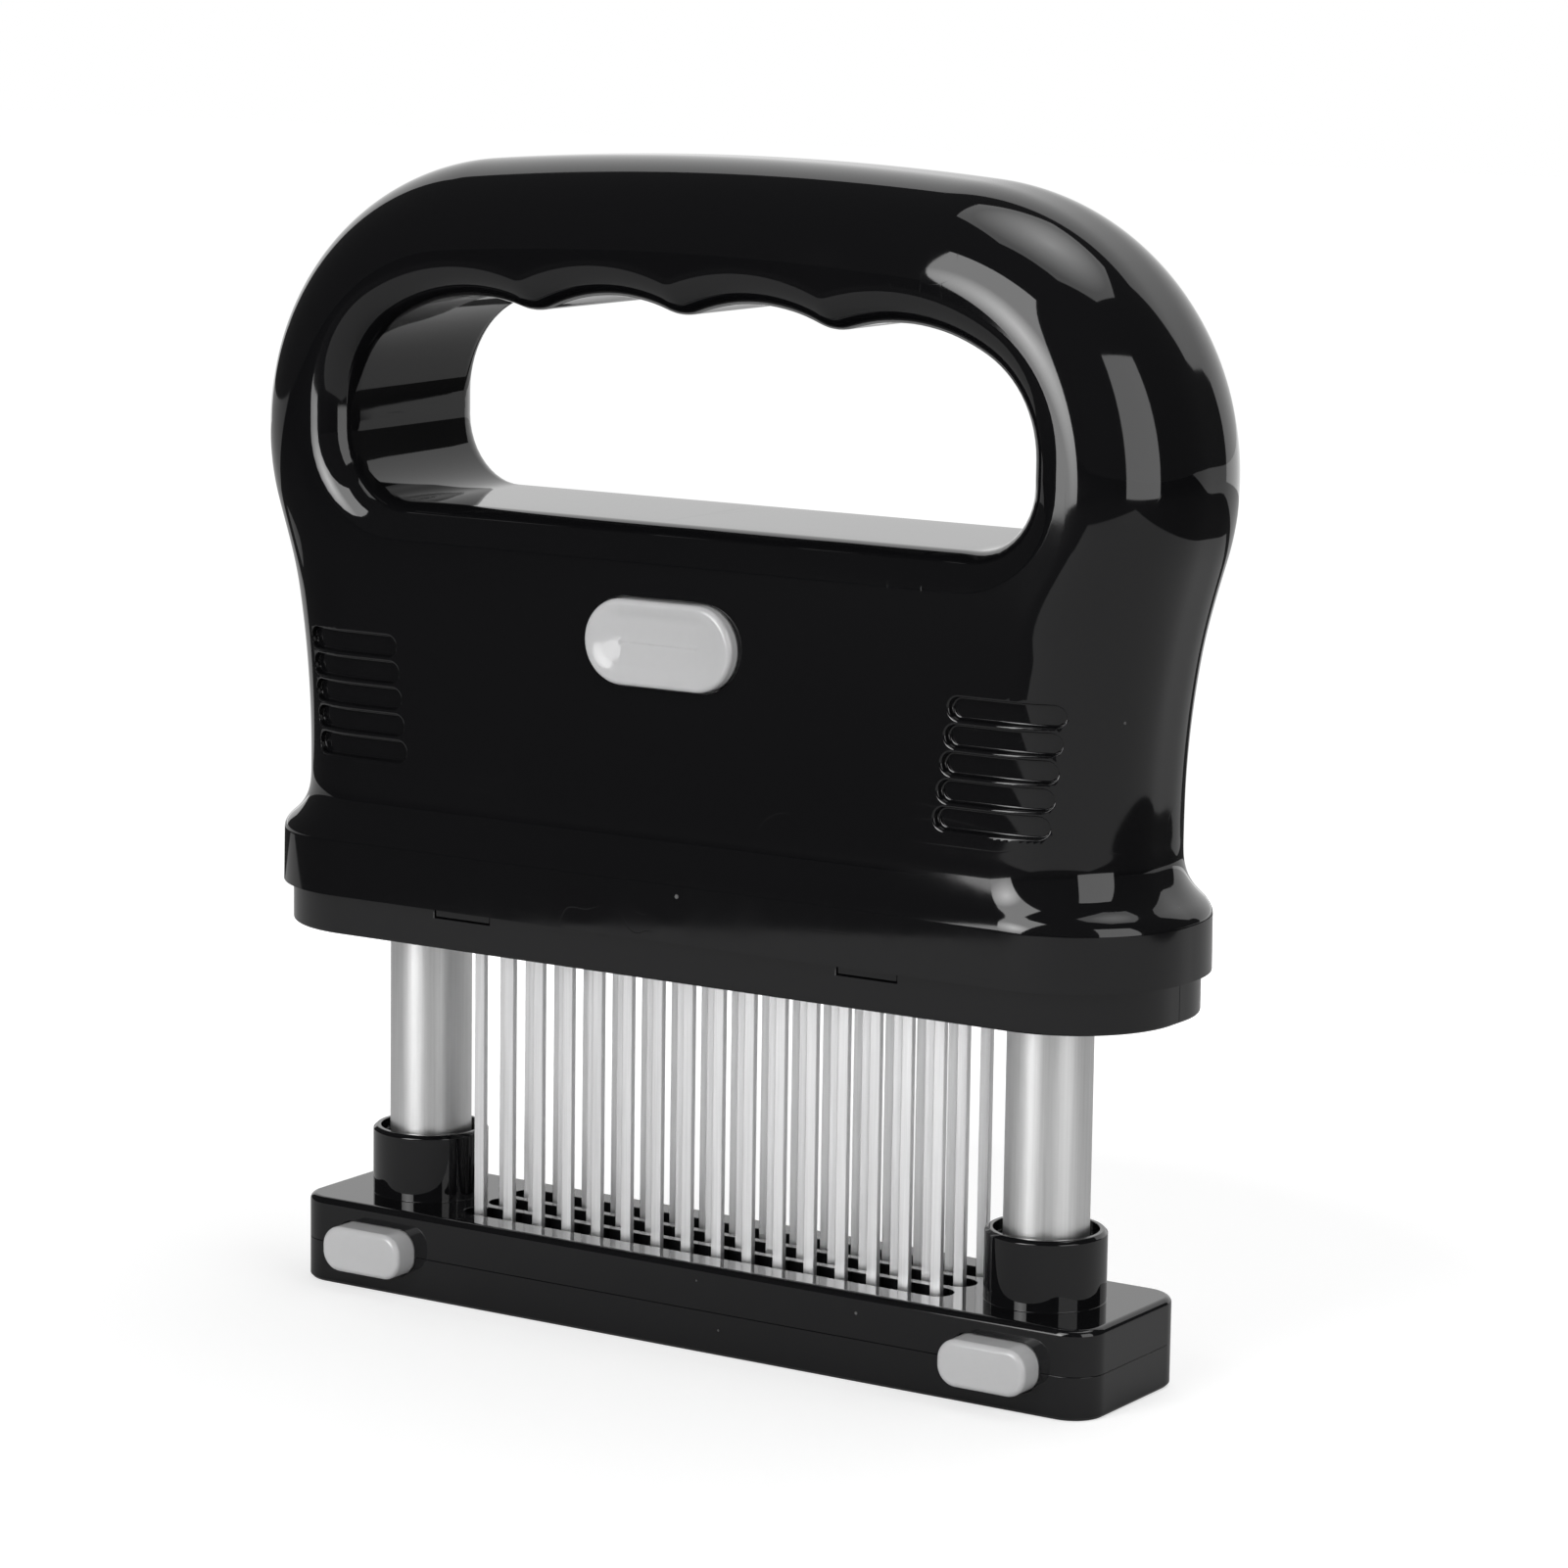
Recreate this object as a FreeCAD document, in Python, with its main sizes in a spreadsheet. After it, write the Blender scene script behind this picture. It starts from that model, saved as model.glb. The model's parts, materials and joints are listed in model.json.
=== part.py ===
import FreeCAD, Part
import math
import os
import re
import Sketcher

# Hand-pressed blade meat tenderizer: a D-handle head with 48 blades slides down two tube posts
# that stand in a slotted foot. Millimetres. Origin: middle of the foot's underside, +Z up,
# X along the width, front of the object towards -Y.

# ---------------------------------------------------------------- driving dimensions
SIZES = {
    # handle housing, seen from the front
    "overall_height": 170.0,
    "handle_width": 153.7,
    "crown_radius": 493.0,
    "corner_radius": 40.0,
    "waist_width": 142.0,
    "waist_level": 90.0,
    "body_depth": 36.6,
    "edge_round": 16.0,
    "shell_wall": 2.2,
    # flare and flange under the waist
    "flare_top": 79.0,
    "flange_top": 69.0,
    "flange_bottom": 60.65,
    "flange_width": 150.2,
    "flange_depth": 40.3,
    "flange_round": 18.1,
    # finger opening with its grip grooves
    "opening_width": 114.2,
    "opening_floor": 119.05,
    "opening_corner": 9.7,
    "opening_shoulder": 15.0,
    "opening_round": 5.5,
    "grip_thickness": 19.35,
    "groove_pitch": 25.1,
    "groove_radius": 28.5,
    "ridge_radius": 6.5,
    # moulded side recesses
    "recess_length": 17.0,
    "recess_width": 3.1,
    "recess_pitch": 3.83,
    "recess_step": 0.49,
    "recess_inner": 46.6,
    "recess_level": 98.1,
    "recess_depth": 1.1,
    # ribs and screw bosses inside the handle
    "rib_thick": 1.6,
    "rib_reach": 43.0,
    "rib_level": 84.6,
    "rib_pitch": 13.5,
    "rib_gap": 0.6,
    "boss_radius": 3.2,
    "seat_radius": 4.6,
    "screw_seat": 10.5,
    "screw_length": 20.0,
    "screw_radius": 1.3,
    "screw_head": 2.7,
    "screw_head_height": 1.7,
    "upper_boss_reach": 38.0,
    "upper_boss_level": 158.9,
    "lower_boss_reach": 32.5,
    "middle_boss_level": 110.5,
    "lower_boss_level": 84.0,
    # release button, its latch and spring
    "button_level": 102.6,
    "button_length": 26.0,
    "button_height": 13.3,
    "button_proud": 1.1,
    "button_flange": 1.4,
    "button_lip": 1.3,
    "button_edge": 0.9,
    "button_gap": 0.22,
    "button_travel": 2.5,
    "latch_level": 97.0,
    "latch_thick": 1.6,
    "latch_width": 16.0,
    "latch_room": 0.8,
    "stem_width": 12.0,
    "stem_height": 5.0,
    "stem_length": 5.6,
    "tab_width": 6.4,
    "tab_height": 5.2,
    "button_spring_radius": 2.2,
    "button_spring_wire": 0.6,
    "button_spring_turns": 7,
    "spring_pin": 1.4,
    # catch tower on the clamp plate
    "catch_width": 10.0,
    "catch_depth": 6.0,
    "catch_bite": 1.6,
    "catch_lip": 3.2,
    "gusset_reach": 16.0,
    "gusset_height": 24.0,
    "gusset_thick": 1.6,
    # posts, feet of the posts and rings
    "post_spacing": 106.6,
    "post_radius": 6.1,
    "post_bore": 5.0,
    "post_start": 9.0,
    "post_top": 82.0,
    "post_chamfer": 0.5,
    "slide_gap": 0.07,
    "neck_radius": 4.9,
    "neck_room": 0.5,
    "spigot_length": 5.0,
    "ring_radius": 7.6,
    "ring_thick": 1.2,
    "ring_groove": 0.6,
    "ring_gap": 3.0,
    # cartridge: skirt, blade carrier, clamp plate and bushes
    "skirt_inset": 1.7,
    "skirt_bottom": 54.6,
    "tongue_top": 67.0,
    "tongue_gap": 0.2,
    "skirt_wall": 1.8,
    "skirt_floor": 2.2,
    "skirt_slot": 3.0,
    "snap_reach": 34.4,
    "snap_width": 9.8,
    "snap_height": 1.5,
    "carrier_thick": 3.5,
    "carrier_length": 89.6,
    "carrier_depth": 24.0,
    "clamp_thick": 2.5,
    "clamp_length": 131.0,
    "clamp_depth": 25.0,
    "plate_corner": 2.0,
    "stud_radius": 2.6,
    "stud_reach": 42.4,
    "stud_row": 9.2,
    "clamp_screw_length": 6.8,
    "bush_radius": 8.0,
    "bush_flange": 9.3,
    "bush_top": 78.0,
    # blades
    "blade_pitch": 5.26,
    "row_pitch": 6.4,
    "blade_width": 1.7,
    "blade_thick": 1.0,
    "blade_tip": 3.4,
    "tip_length": 2.6,
    "tip_bevel": 0.35,
    "head_width": 3.4,
    "head_height": 2.0,
    "blade_gap": 0.15,
    # return springs and the rods that push them
    "rod_radius": 2.0,
    "rod_collar": 4.5,
    "collar_length": 3.0,
    "collar_bottom": 72.0,
    "rod_flange": 9.5,
    "rod_flange_thick": 2.6,
    "spring_wire": 0.9,
    "spring_radius": 4.1,
    "spring_turns": 14,
    # foot of the object
    "base_length": 136.0,
    "base_depth": 27.7,
    "base_height": 12.9,
    "base_corner": 5.0,
    "hollow_corner": 1.6,
    "base_edge": 1.0,
    "base_seam": 6.3,
    "base_wall": 2.0,
    "block_length": 87.2,
    "block_depth": 20.8,
    "sleeve_radius": 8.65,
    "sleeve_top": 23.05,
    "sleeve_edge": 0.5,
    "sleeve_rim": 7.5,
    "rim_depth": 1.6,
    "slot_end_gap": 1.65,
    "slot_width": 4.8,
    # push buttons of the foot, their latch plates, springs and screws
    "push_length": 14.1,
    "push_height": 6.8,
    "push_level": 6.6,
    "push_proud": 4.0,
    "push_round": 3.0,
    "push_edge": 0.6,
    "push_gap": 0.2,
    "push_lip": 0.8,
    "push_flange": 1.5,
    "push_travel": 2.5,
    "plate_thick": 1.6,
    "plate_width": 16.0,
    "plate_tail": 2.6,
    "arm_reach": 3.2,
    "arm_depth": 2.5,
    "side_spring_radius": 1.2,
    "side_spring_wire": 0.45,
    "side_spring_turns": 8,
    "foot_boss_radius": 2.3,
    "foot_boss_reach": 64.0,
    "foot_boss_row": 7.4,
    "foot_screw_radius": 0.95,
    "foot_screw_head": 1.7,
    "foot_screw_length": 8.5,
    # running and seating clearances
    "clearance": 0.1,
    "play": 0.25,
    "skim": 0.02,
}

# Counts of what repeats.
GROOVES = 4
RECESSES = 5
BLADES = 16
ROWS = ("front", "middle", "rear")
SIDES = {"left": -1, "right": 1}
# A hidden bevel in place of a round, as a share of its radius.
BEVEL_SHARE = 0.76
# Straight steps in a turn of a spring, and sides of its wire.
COIL_STEPS = 10
WIRE_SIDES = 6
# How far the flare has gone out (second number) at a share of its height (first number).
FLARE = ((0.0, 0.0), (0.3, 0.08), (0.55, 0.34), (0.78, 0.76), (1.0, 1.0))
# Longer than the whole object: for cuts that run right through.
FAR = 400

# ---------------------------------------------------------------- places worked out from the sizes
POST_X = "(post_spacing / 2)"
FRONT_FACE = "(body_depth / 2)"
INNER_FACE = "(body_depth / 2 - shell_wall)"
CROWN_CENTRE = "(overall_height - crown_radius)"
CORNER_X = "(handle_width / 2 - corner_radius)"
APEX_RING = "(crown_radius - grip_thickness)"
GROOVE_RING = "(crown_radius - grip_thickness - groove_radius)"
CARRIER_LEVEL = "(skirt_bottom + skirt_floor)"
HEADS_LEVEL = "(skirt_bottom + skirt_floor + carrier_thick)"
CLAMP_LEVEL = "(skirt_bottom + skirt_floor + carrier_thick + head_height)"
CLAMP_TOP = "(skirt_bottom + skirt_floor + carrier_thick + head_height + clamp_thick)"
BUSH_HOLE = "(bush_radius + clearance)"
RING_LEVEL = "(bush_top + clearance / 2)"
ROD_TOP = "(opening_floor - shell_wall - play)"
ROD_SEAT = "(opening_floor - shell_wall - play - rod_flange_thick)"
SPRING_START = "(post_start + spigot_length)"
BUTTON_BACK = "(body_depth / 2 - shell_wall - clearance - button_flange)"
LATCH_END = "(catch_depth / 2 + latch_room + latch_thick)"
NOTCH_TOP = "(latch_level + latch_thick + play)"
BUTTON_SPRING_LEVEL = "(latch_level + tab_height / 2)"
TONGUE_WIDTH = "(flange_width - 2 * shell_wall - 2 * tongue_gap)"
TONGUE_DEPTH = "(flange_depth - 2 * shell_wall - 2 * tongue_gap)"
TONGUE_ROUND = "(flange_round - shell_wall - tongue_gap)"
BLADES_LENGTH = f"({BLADES - 1} * blade_pitch + blade_width)"
SLOT_LENGTH = f"({BLADES - 1} * blade_pitch + blade_width + 2 * slot_end_gap)"
PLATE_LOW = "(push_level - plate_thick / 2)"
PLATE_HIGH = "(push_level + plate_thick / 2)"
PUSH_BACK = "(base_depth / 2 - base_wall - clearance - push_flange)"
SIDE_SPRING_X = "(post_spacing / 2 + plate_width / 2 + arm_reach / 2)"

AXES = {"x": FreeCAD.Vector(1, 0, 0), "y": FreeCAD.Vector(0, 1, 0), "z": FreeCAD.Vector(0, 0, 1)}
TURN = {
    "x": FreeCAD.Rotation(AXES["y"], 90),
    "y": FreeCAD.Rotation(AXES["x"], -90),
    "z": FreeCAD.Rotation(),
}

doc = FreeCAD.newDocument("blade_tenderizer")
sheet = doc.addObject("Spreadsheet::Sheet", "Sizes")
for row, (alias, size) in enumerate(SIZES.items(), 1):
    sheet.set(f"A{row}", alias)
    sheet.set(f"B{row}", str(size))
    sheet.setAlias(f"B{row}", alias)
doc.recompute()
sub_parts = []


# ---------------------------------------------------------------- expressions and solids
def full(expression):
    """The expression with each dimension named as the document reads it."""
    def with_sheet(word):
        return f"Sizes.{word[0]}" if word[0] in SIZES else word[0]
    return re.sub(r"[A-Za-z_]\w*", with_sheet, str(expression))


def value(expression):
    return float(sheet.evalExpression(full(expression)))


def bind(item, **expressions):
    """Bind properties of a document object to expressions of the sheet."""
    for prop, expression in expressions.items():
        item.setExpression(prop.replace("__", "."), full(expression))
    return item


def place(item, x=0, y=0, z=0, axis="z"):
    item.Placement = FreeCAD.Placement(FreeCAD.Vector(0, 0, 0), TURN[axis])
    return bind(item, Placement__Base__x=x, Placement__Base__y=y, Placement__Base__z=z)


def box(name, low, high):
    """Block between two corners, each given as three expressions."""
    block = doc.addObject("Part::Box", name)
    length, width, height = (f"({b}) - ({a})" for a, b in zip(low, high))
    bind(block, Length=length, Width=width, Height=height)
    return place(block, *low)


def cylinder(name, radius, start, end, x=0, y=0, axis="z"):
    """Round bar along an axis from start to end; x and y are its place across that axis."""
    bar = doc.addObject("Part::Cylinder", name)
    bind(bar, Radius=radius, Height=f"({end}) - ({start})")
    where = {"z": (x, y, start), "y": (x, start, y), "x": (start, x, y)}[axis]
    return place(bar, *where, axis=axis)


def fuse(name, *items):
    joined = doc.addObject("Part::MultiFuse", name)
    joined.Shapes = list(items)
    return joined


def cut(name, base, *tools):
    result = doc.addObject("Part::Cut", name)
    result.Base = base
    result.Tool = tools[0] if len(tools) == 1 else fuse(name + "_tools", *tools)
    return result


def common(name, first, second):
    result = doc.addObject("Part::Common", name)
    result.Base = first
    result.Tool = second
    return result


def mirrored(name, source, normal):
    result = doc.addObject("Part::Mirroring", name)
    result.Source = source
    result.Normal = AXES[normal]
    return result


def finish(item, label):
    """Name a finished sub-part and keep it for the export."""
    item.Label = label
    sub_parts.append(item)
    return item


# ---------------------------------------------------------------- sketches
def flipped(point):
    return FreeCAD.Vector(-point.x, point.y, 0)


def towards(start, end, distance):
    """The point at a distance from start on the way to end."""
    return start + (end - start).normalize() * distance


class Outline:
    """A sketch on an origin plane of its own body, with its sizes bound to expressions.

    A link of a closed chain is (item, entry point, exit point, smooth into the next link).
    """

    def __init__(self, body, name, plane="XY_Plane", offset="0"):
        self.sketch = body.newObject("Sketcher::SketchObject", name)
        origin_plane = [item for item in body.Origin.OriginFeatures if item.Role == plane][0]
        self.sketch.AttachmentSupport = [(origin_plane, "")]
        self.sketch.MapMode = "FlatFace"
        bind(self.sketch, AttachmentOffset__Base__z=offset)

    def rule(self, *arguments, to=None):
        """Add a constraint; `to` is the expression of its size."""
        if to is None:
            self.sketch.addConstraint(Sketcher.Constraint(*arguments))
            return
        index = self.sketch.addConstraint(Sketcher.Constraint(*arguments, value(to)))
        self.sketch.setExpression(f"Constraints[{index}]", full(to))

    def point(self, x, y):
        return FreeCAD.Vector(value(x), value(y), 0)

    def pin(self, item, end, x, y):
        """Hold a point of the sketch at x, y."""
        self.rule("DistanceX", -1, 1, item, end, to=x)
        self.rule("DistanceY", -1, 1, item, end, to=y)

    def straight(self, start, end, smooth=True):
        return self.sketch.addGeometry(Part.LineSegment(start, end)), 1, 2, smooth

    def bow(self, center, radius, start, end, left=True, smooth=True):
        """Arc round a centre from start to end, which turns left or right on the way."""
        first, last = (start, end) if left else (end, start)
        angles = [math.atan2(p.y - center.y, p.x - center.x) for p in (first, last)]
        ring = Part.Circle(center, AXES["z"], radius)
        item = self.sketch.addGeometry(Part.ArcOfCircle(ring, *angles))
        return (item, 1, 2, smooth) if left else (item, 2, 1, smooth)

    def chain(self, links):
        """Join links into a closed outline, smoothly or at a corner."""
        for here, after in zip(links, links[1:] + links[:1]):
            kind = "Tangent" if here[3] else "Coincident"
            self.rule(kind, here[0], here[2], after[0], after[1])

    def circle(self, radius, x="0", y="0"):
        ring = Part.Circle(self.point(x, y), AXES["z"], value(radius))
        item = self.sketch.addGeometry(ring)
        self.rule("Radius", item, to=radius)
        self.pin(item, 3, x, y)

    def polygon(self, *corners):
        """Closed outline of straight lines through corners given as pairs of expressions."""
        points = [self.point(x, y) for x, y in corners]
        links = [self.straight(a, b, smooth=False) for a, b in zip(points, points[1:] + points[:1])]
        self.chain(links)
        for link, (x, y) in zip(links, corners):
            self.pin(link[0], 1, x, y)

    def rectangle(self, width, height, x="0", y="0"):
        low_x, high_x = f"({x}) - ({width}) / 2", f"({x}) + ({width}) / 2"
        low_y, high_y = f"({y}) - ({height}) / 2", f"({y}) + ({height}) / 2"
        self.polygon((low_x, low_y), (high_x, low_y), (high_x, high_y), (low_x, high_y))

    def rounded(self, width, height, radius, x="0", y="0"):
        """Rectangle about x, y with four round corners."""
        signs = ((1, -1), (1, 1), (-1, 1), (-1, -1))
        r = value(radius)
        centers = [(f"({x}) + {sx} * (({width}) / 2 - ({radius}))",
                    f"({y}) + {sy} * (({height}) / 2 - ({radius}))") for sx, sy in signs]
        out = (FreeCAD.Vector(0, -r, 0), FreeCAD.Vector(r, 0, 0),
               FreeCAD.Vector(0, r, 0), FreeCAD.Vector(-r, 0, 0))
        points = [self.point(*center) for center in centers]
        links = []
        for turn, middle in enumerate(points):
            after = (turn + 1) % len(points)
            links.append(self.bow(middle, r, middle + out[turn], middle + out[after]))
            links.append(self.straight(middle + out[after], points[after] + out[after]))
        self.chain(links)
        for link, center in zip(links[::2], centers):
            self.rule("Radius", link[0], to=radius)
            self.pin(link[0], 3, *center)

    def slot(self, length, width, x="0", y="0"):
        """Obround about x, y, along the sketch's first axis."""
        r = value(width) / 2
        reach = f"(({length}) - ({width})) / 2"
        centers = ((f"({x}) + {reach}", y), (f"({x}) - {reach}", y))
        right, left = (self.point(*center) for center in centers)
        up = FreeCAD.Vector(0, r, 0)
        links = [self.bow(right, r, right - up, right + up), self.straight(right + up, left + up),
                 self.bow(left, r, left + up, left - up), self.straight(left - up, right - up)]
        self.chain(links)
        for link, center in zip(links[::2], centers):
            self.rule("Radius", link[0], to=f"({width}) / 2")
            self.pin(link[0], 3, *center)


# ---------------------------------------------------------------- part design features
def body_of(name):
    body = doc.addObject("PartDesign::Body", name)
    body.AllowCompound = True
    return body


def pad(body, outline, length, symmetric=False, back=False, kind="PartDesign::Pad"):
    """Pad an outline; back turns it against the plane's normal."""
    item = body.newObject(kind, outline.sketch.Name + "_solid")
    item.Profile = outline.sketch
    bind(item, Length=length)
    item.SideType = "Symmetric" if symmetric else "One side"
    item.Reversed = back
    doc.recompute()
    return item


def pocket(body, outline, length, symmetric=False, back=False):
    """Pocket an outline, which has to take something away."""
    before = body.Shape.Volume
    item = pad(body, outline, length, symmetric, back, kind="PartDesign::Pocket")
    if not body.Shape.Volume < before:
        raise RuntimeError(f"{item.Name} cuts nothing")
    return item


def dress(body, size, choose, kind="Fillet"):
    """Round the edges of a body that choose picks, or bevel them with kind Chamfer."""
    solid = body.Tip
    names = [f"Edge{i}" for i, edge in enumerate(solid.Shape.Edges, 1) if choose(edge.BoundBox)]
    item = body.newObject("PartDesign::" + kind, solid.Name + "_" + kind.lower())
    item.Base = (solid, names)
    bind(item, **{"Radius" if kind == "Fillet" else "Size": size})
    doc.recompute()


def flat_at(bounds, axis, expression):
    """Whether bounds lie flat across an axis at a level."""
    low, high = (getattr(bounds, axis + end) for end in ("Min", "Max"))
    near = 0.01
    return abs(low - value(expression)) < near and abs(high - value(expression)) < near


def repeat(body, feature, pitch, count):
    """Repeat a feature along X."""
    pattern = body.newObject("PartDesign::LinearPattern", feature.Name + "_row")
    pattern.Originals = [feature]
    pattern.Direction = (feature.Profile[0], ["H_Axis"])
    pattern.Mode = "Spacing"
    pattern.Occurrences = count
    bind(pattern, Offset=pitch)
    body.Tip = pattern
    doc.recompute()
    return pattern


def turned(name, *corners, x="0"):
    """Turned piece round a vertical axis at x; corners are pairs (radius, height)."""
    body = body_of(name)
    outline = Outline(body, name + "_profile", "XZ_Plane")
    outline.polygon(*corners)
    turn = body.newObject("PartDesign::Revolution", name + "_turn")
    turn.Profile = outline.sketch
    turn.ReferenceAxis = (outline.sketch, ["V_Axis"])
    turn.Angle = 360
    return place(body, x=x)


def coil(name, radius, wire, turns, start, end):
    """Compression spring between two levels: a six-sided wire along a coil of straight steps."""
    pitch = (value(end) - value(start) - value(wire)) / value(turns)
    sections = []
    for step in range(int(value(turns)) * COIL_STEPS + 1):
        turn = step * 2 * math.pi / COIL_STEPS
        outward = FreeCAD.Vector(math.cos(turn), math.sin(turn), 0)
        centre = outward * value(radius) + FreeCAD.Vector(0, 0, pitch * step / COIL_STEPS)
        corners = []
        for side in range(WIRE_SIDES + 1):
            angle = side * 2 * math.pi / WIRE_SIDES
            corners.append(centre + outward * (math.cos(angle) * value(wire) / 2)
                           + FreeCAD.Vector(0, 0, math.sin(angle) * value(wire) / 2))
        sections.append(Part.makePolygon(corners))
    item = doc.addObject("Part::Feature", name)
    item.Shape = Part.makeLoft(sections, True, True)
    return item


def screw(name, radius, head, seat, length, x, y, axis, way):
    """Pan-head screw: the head stands on its seat on the `way` side, the shank goes the other way."""
    top = f"{seat} + {way} * screw_head_height"
    tip = f"{seat} - {way} * {length}"
    head_ends, shank_ends = {1: ((seat, top), (tip, seat)), -1: ((top, seat), (seat, tip))}[way]
    return fuse(name, cylinder(name + "_head", head, *head_ends, x=x, y=y, axis=axis),
                cylinder(name + "_shank", radius, *shank_ends, x=x, y=y, axis=axis))


# ---------------------------------------------------------------- handle housing
def housing_outline(body, name, inset):
    """Outline of the handle in the seam plane, evenly inset: crown, corners, waist, straight sides."""
    outline = Outline(body, name, "XZ_Plane")
    crown = outline.point("0", CROWN_CENTRE)
    reach = value("crown_radius - corner_radius")
    corner_x, corner_r, waist_z = value(CORNER_X), value("corner_radius"), value("waist_level")
    corner = FreeCAD.Vector(corner_x, crown.y + math.sqrt(reach ** 2 - corner_x ** 2), 0)
    in_by = value("waist_width / 2") - corner_x
    drop = corner.y - waist_z
    waist_r = (in_by ** 2 + drop ** 2 - corner_r ** 2) / (2 * (corner_r - in_by))
    waist = FreeCAD.Vector(corner_x + in_by + waist_r, waist_z, 0)
    crown_r = value(f"crown_radius - {inset}")
    corner_r -= value(inset)
    waist_r += value(inset)
    top = towards(crown, corner, crown_r)
    hip = towards(corner, waist, corner_r)
    side_top = outline.point(f"waist_width / 2 - {inset}", "waist_level")
    side_end = outline.point(f"waist_width / 2 - {inset}", "flare_top")
    crown_link = outline.bow(crown, crown_r, top, flipped(top))
    left = [outline.bow(flipped(corner), corner_r, flipped(top), flipped(hip)),
            outline.bow(flipped(waist), waist_r, flipped(hip), flipped(side_top), left=False),
            outline.straight(flipped(side_top), flipped(side_end), smooth=False)]
    bottom = outline.straight(flipped(side_end), side_end, smooth=False)
    right = [outline.straight(side_end, side_top),
             outline.bow(waist, waist_r, side_top, hip, left=False),
             outline.bow(corner, corner_r, hip, top)]
    outline.chain([crown_link, *left, bottom, *right])
    outline.rule("Radius", crown_link[0], to=f"crown_radius - {inset}")
    outline.pin(crown_link[0], 3, "0", CROWN_CENTRE)
    outline.rule("Horizontal", bottom[0])
    outline.rule("DistanceY", -1, 1, bottom[0], 1, to="flare_top")
    for sign, (corner_link, waist_link, side_link) in ((-1, left), (1, right[::-1])):
        outline.rule("Radius", corner_link[0], to=f"corner_radius - {inset}")
        outline.rule("DistanceX", -1, 1, corner_link[0], 3, to=f"{sign} * {CORNER_X}")
        outline.rule("DistanceY", -1, 1, waist_link[0], 3, to="waist_level")
        outline.rule("Vertical", side_link[0])
        outline.rule("DistanceX", -1, 1, side_link[0], 1, to=f"{sign} * (waist_width / 2 - {inset})")
    return outline


def opening_outline(body, name, grow):
    """Outline of the finger opening: round corners below, scalloped grip above."""
    outline = Outline(body, name, "XZ_Plane")
    crown = outline.point("0", CROWN_CENTRE)
    step = f"(groove_pitch / {APEX_RING} * 180 / pi)"
    scallop_r = value(f"groove_radius + {grow}")
    ridge_r = value(f"ridge_radius - {grow}")
    half_step = math.radians(value(step)) / 2
    ring = value(GROOVE_RING)
    across = value("groove_radius + ridge_radius")
    ridge_ring = ring * math.cos(half_step) + math.sqrt(
        across ** 2 - (ring * math.sin(half_step)) ** 2)
    shares = [(GROOVES - 1) / 2 - index for index in range(GROOVES)]
    centers = [(f"{GROOVE_RING} * sin({share} * {step})",
                f"{CROWN_CENTRE} + {GROOVE_RING} * cos({share} * {step})") for share in shares]
    scallops = [outline.point(*center) for center in centers]
    ridges = []
    for share in shares[:-1]:
        angle = (2 * share - 1) * half_step
        ridges.append(crown + FreeCAD.Vector(math.sin(angle), math.cos(angle), 0) * ridge_ring)

    wall_x, floor_z = value(f"opening_width / 2 + {grow}"), value(f"opening_floor - {grow}")
    corner_r = value(f"opening_corner + {grow}")
    shoulder_r = value(f"opening_shoulder + {grow}")
    corner = FreeCAD.Vector(wall_x - corner_r, floor_z + corner_r, 0)
    shoulder_x = wall_x - shoulder_r
    rise = math.sqrt((scallop_r - shoulder_r) ** 2 - (shoulder_x - scallops[0].x) ** 2)
    shoulder = FreeCAD.Vector(shoulder_x, scallops[0].y + rise, 0)
    floor_end = FreeCAD.Vector(corner.x, floor_z, 0)
    wall_start = FreeCAD.Vector(wall_x, corner.y, 0)
    wall_end = FreeCAD.Vector(wall_x, shoulder.y, 0)
    grip_start = towards(scallops[0], shoulder, scallop_r)

    floor = outline.straight(flipped(floor_end), floor_end)
    corners = [outline.bow(corner, corner_r, floor_end, wall_start)]
    walls = [outline.straight(wall_start, wall_end)]
    shoulders = [outline.bow(shoulder, shoulder_r, wall_end, grip_start)]
    grip, scallop_links = [], []
    start = grip_start
    for index, middle in enumerate(scallops):
        last = index == GROOVES - 1
        end = flipped(grip_start) if last else towards(middle, ridges[index], scallop_r)
        scallop_links.append(outline.bow(middle, scallop_r, start, end))
        grip.append(scallop_links[-1])
        if not last:
            start = towards(scallops[index + 1], ridges[index], scallop_r)
            grip.append(outline.bow(ridges[index], ridge_r, end, start, left=False))
            outline.rule("Radius", grip[-1][0], to=f"ridge_radius - {grow}")
    shoulders.append(outline.bow(flipped(shoulder), shoulder_r, flipped(grip_start), flipped(wall_end)))
    walls.append(outline.straight(flipped(wall_end), flipped(wall_start)))
    corners.append(outline.bow(flipped(corner), corner_r, flipped(wall_start), flipped(floor_end)))
    outline.chain([floor, corners[0], walls[0], shoulders[0], *grip, shoulders[1], walls[1], corners[1]])
    for link, center in zip(scallop_links, centers):
        outline.rule("Radius", link[0], to=f"groove_radius + {grow}")
        outline.pin(link[0], 3, *center)
    for sign, corner_link, wall_link, shoulder_link in zip((1, -1), corners, walls, shoulders):
        outline.rule("Radius", corner_link[0], to=f"opening_corner + {grow}")
        outline.pin(corner_link[0], 3, f"{sign} * (opening_width / 2 - opening_corner)",
                    "opening_floor + opening_corner")
        outline.rule("Radius", shoulder_link[0], to=f"opening_shoulder + {grow}")
        outline.rule("Vertical", wall_link[0])
    return outline


def soften(body, radius, choose, bevelled):
    """Round edges, or bevel them where the round would be hidden inside."""
    if bevelled:
        dress(body, f"({radius}) * {BEVEL_SHARE}", choose, kind="Chamfer")
    else:
        dress(body, radius, choose)


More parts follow.
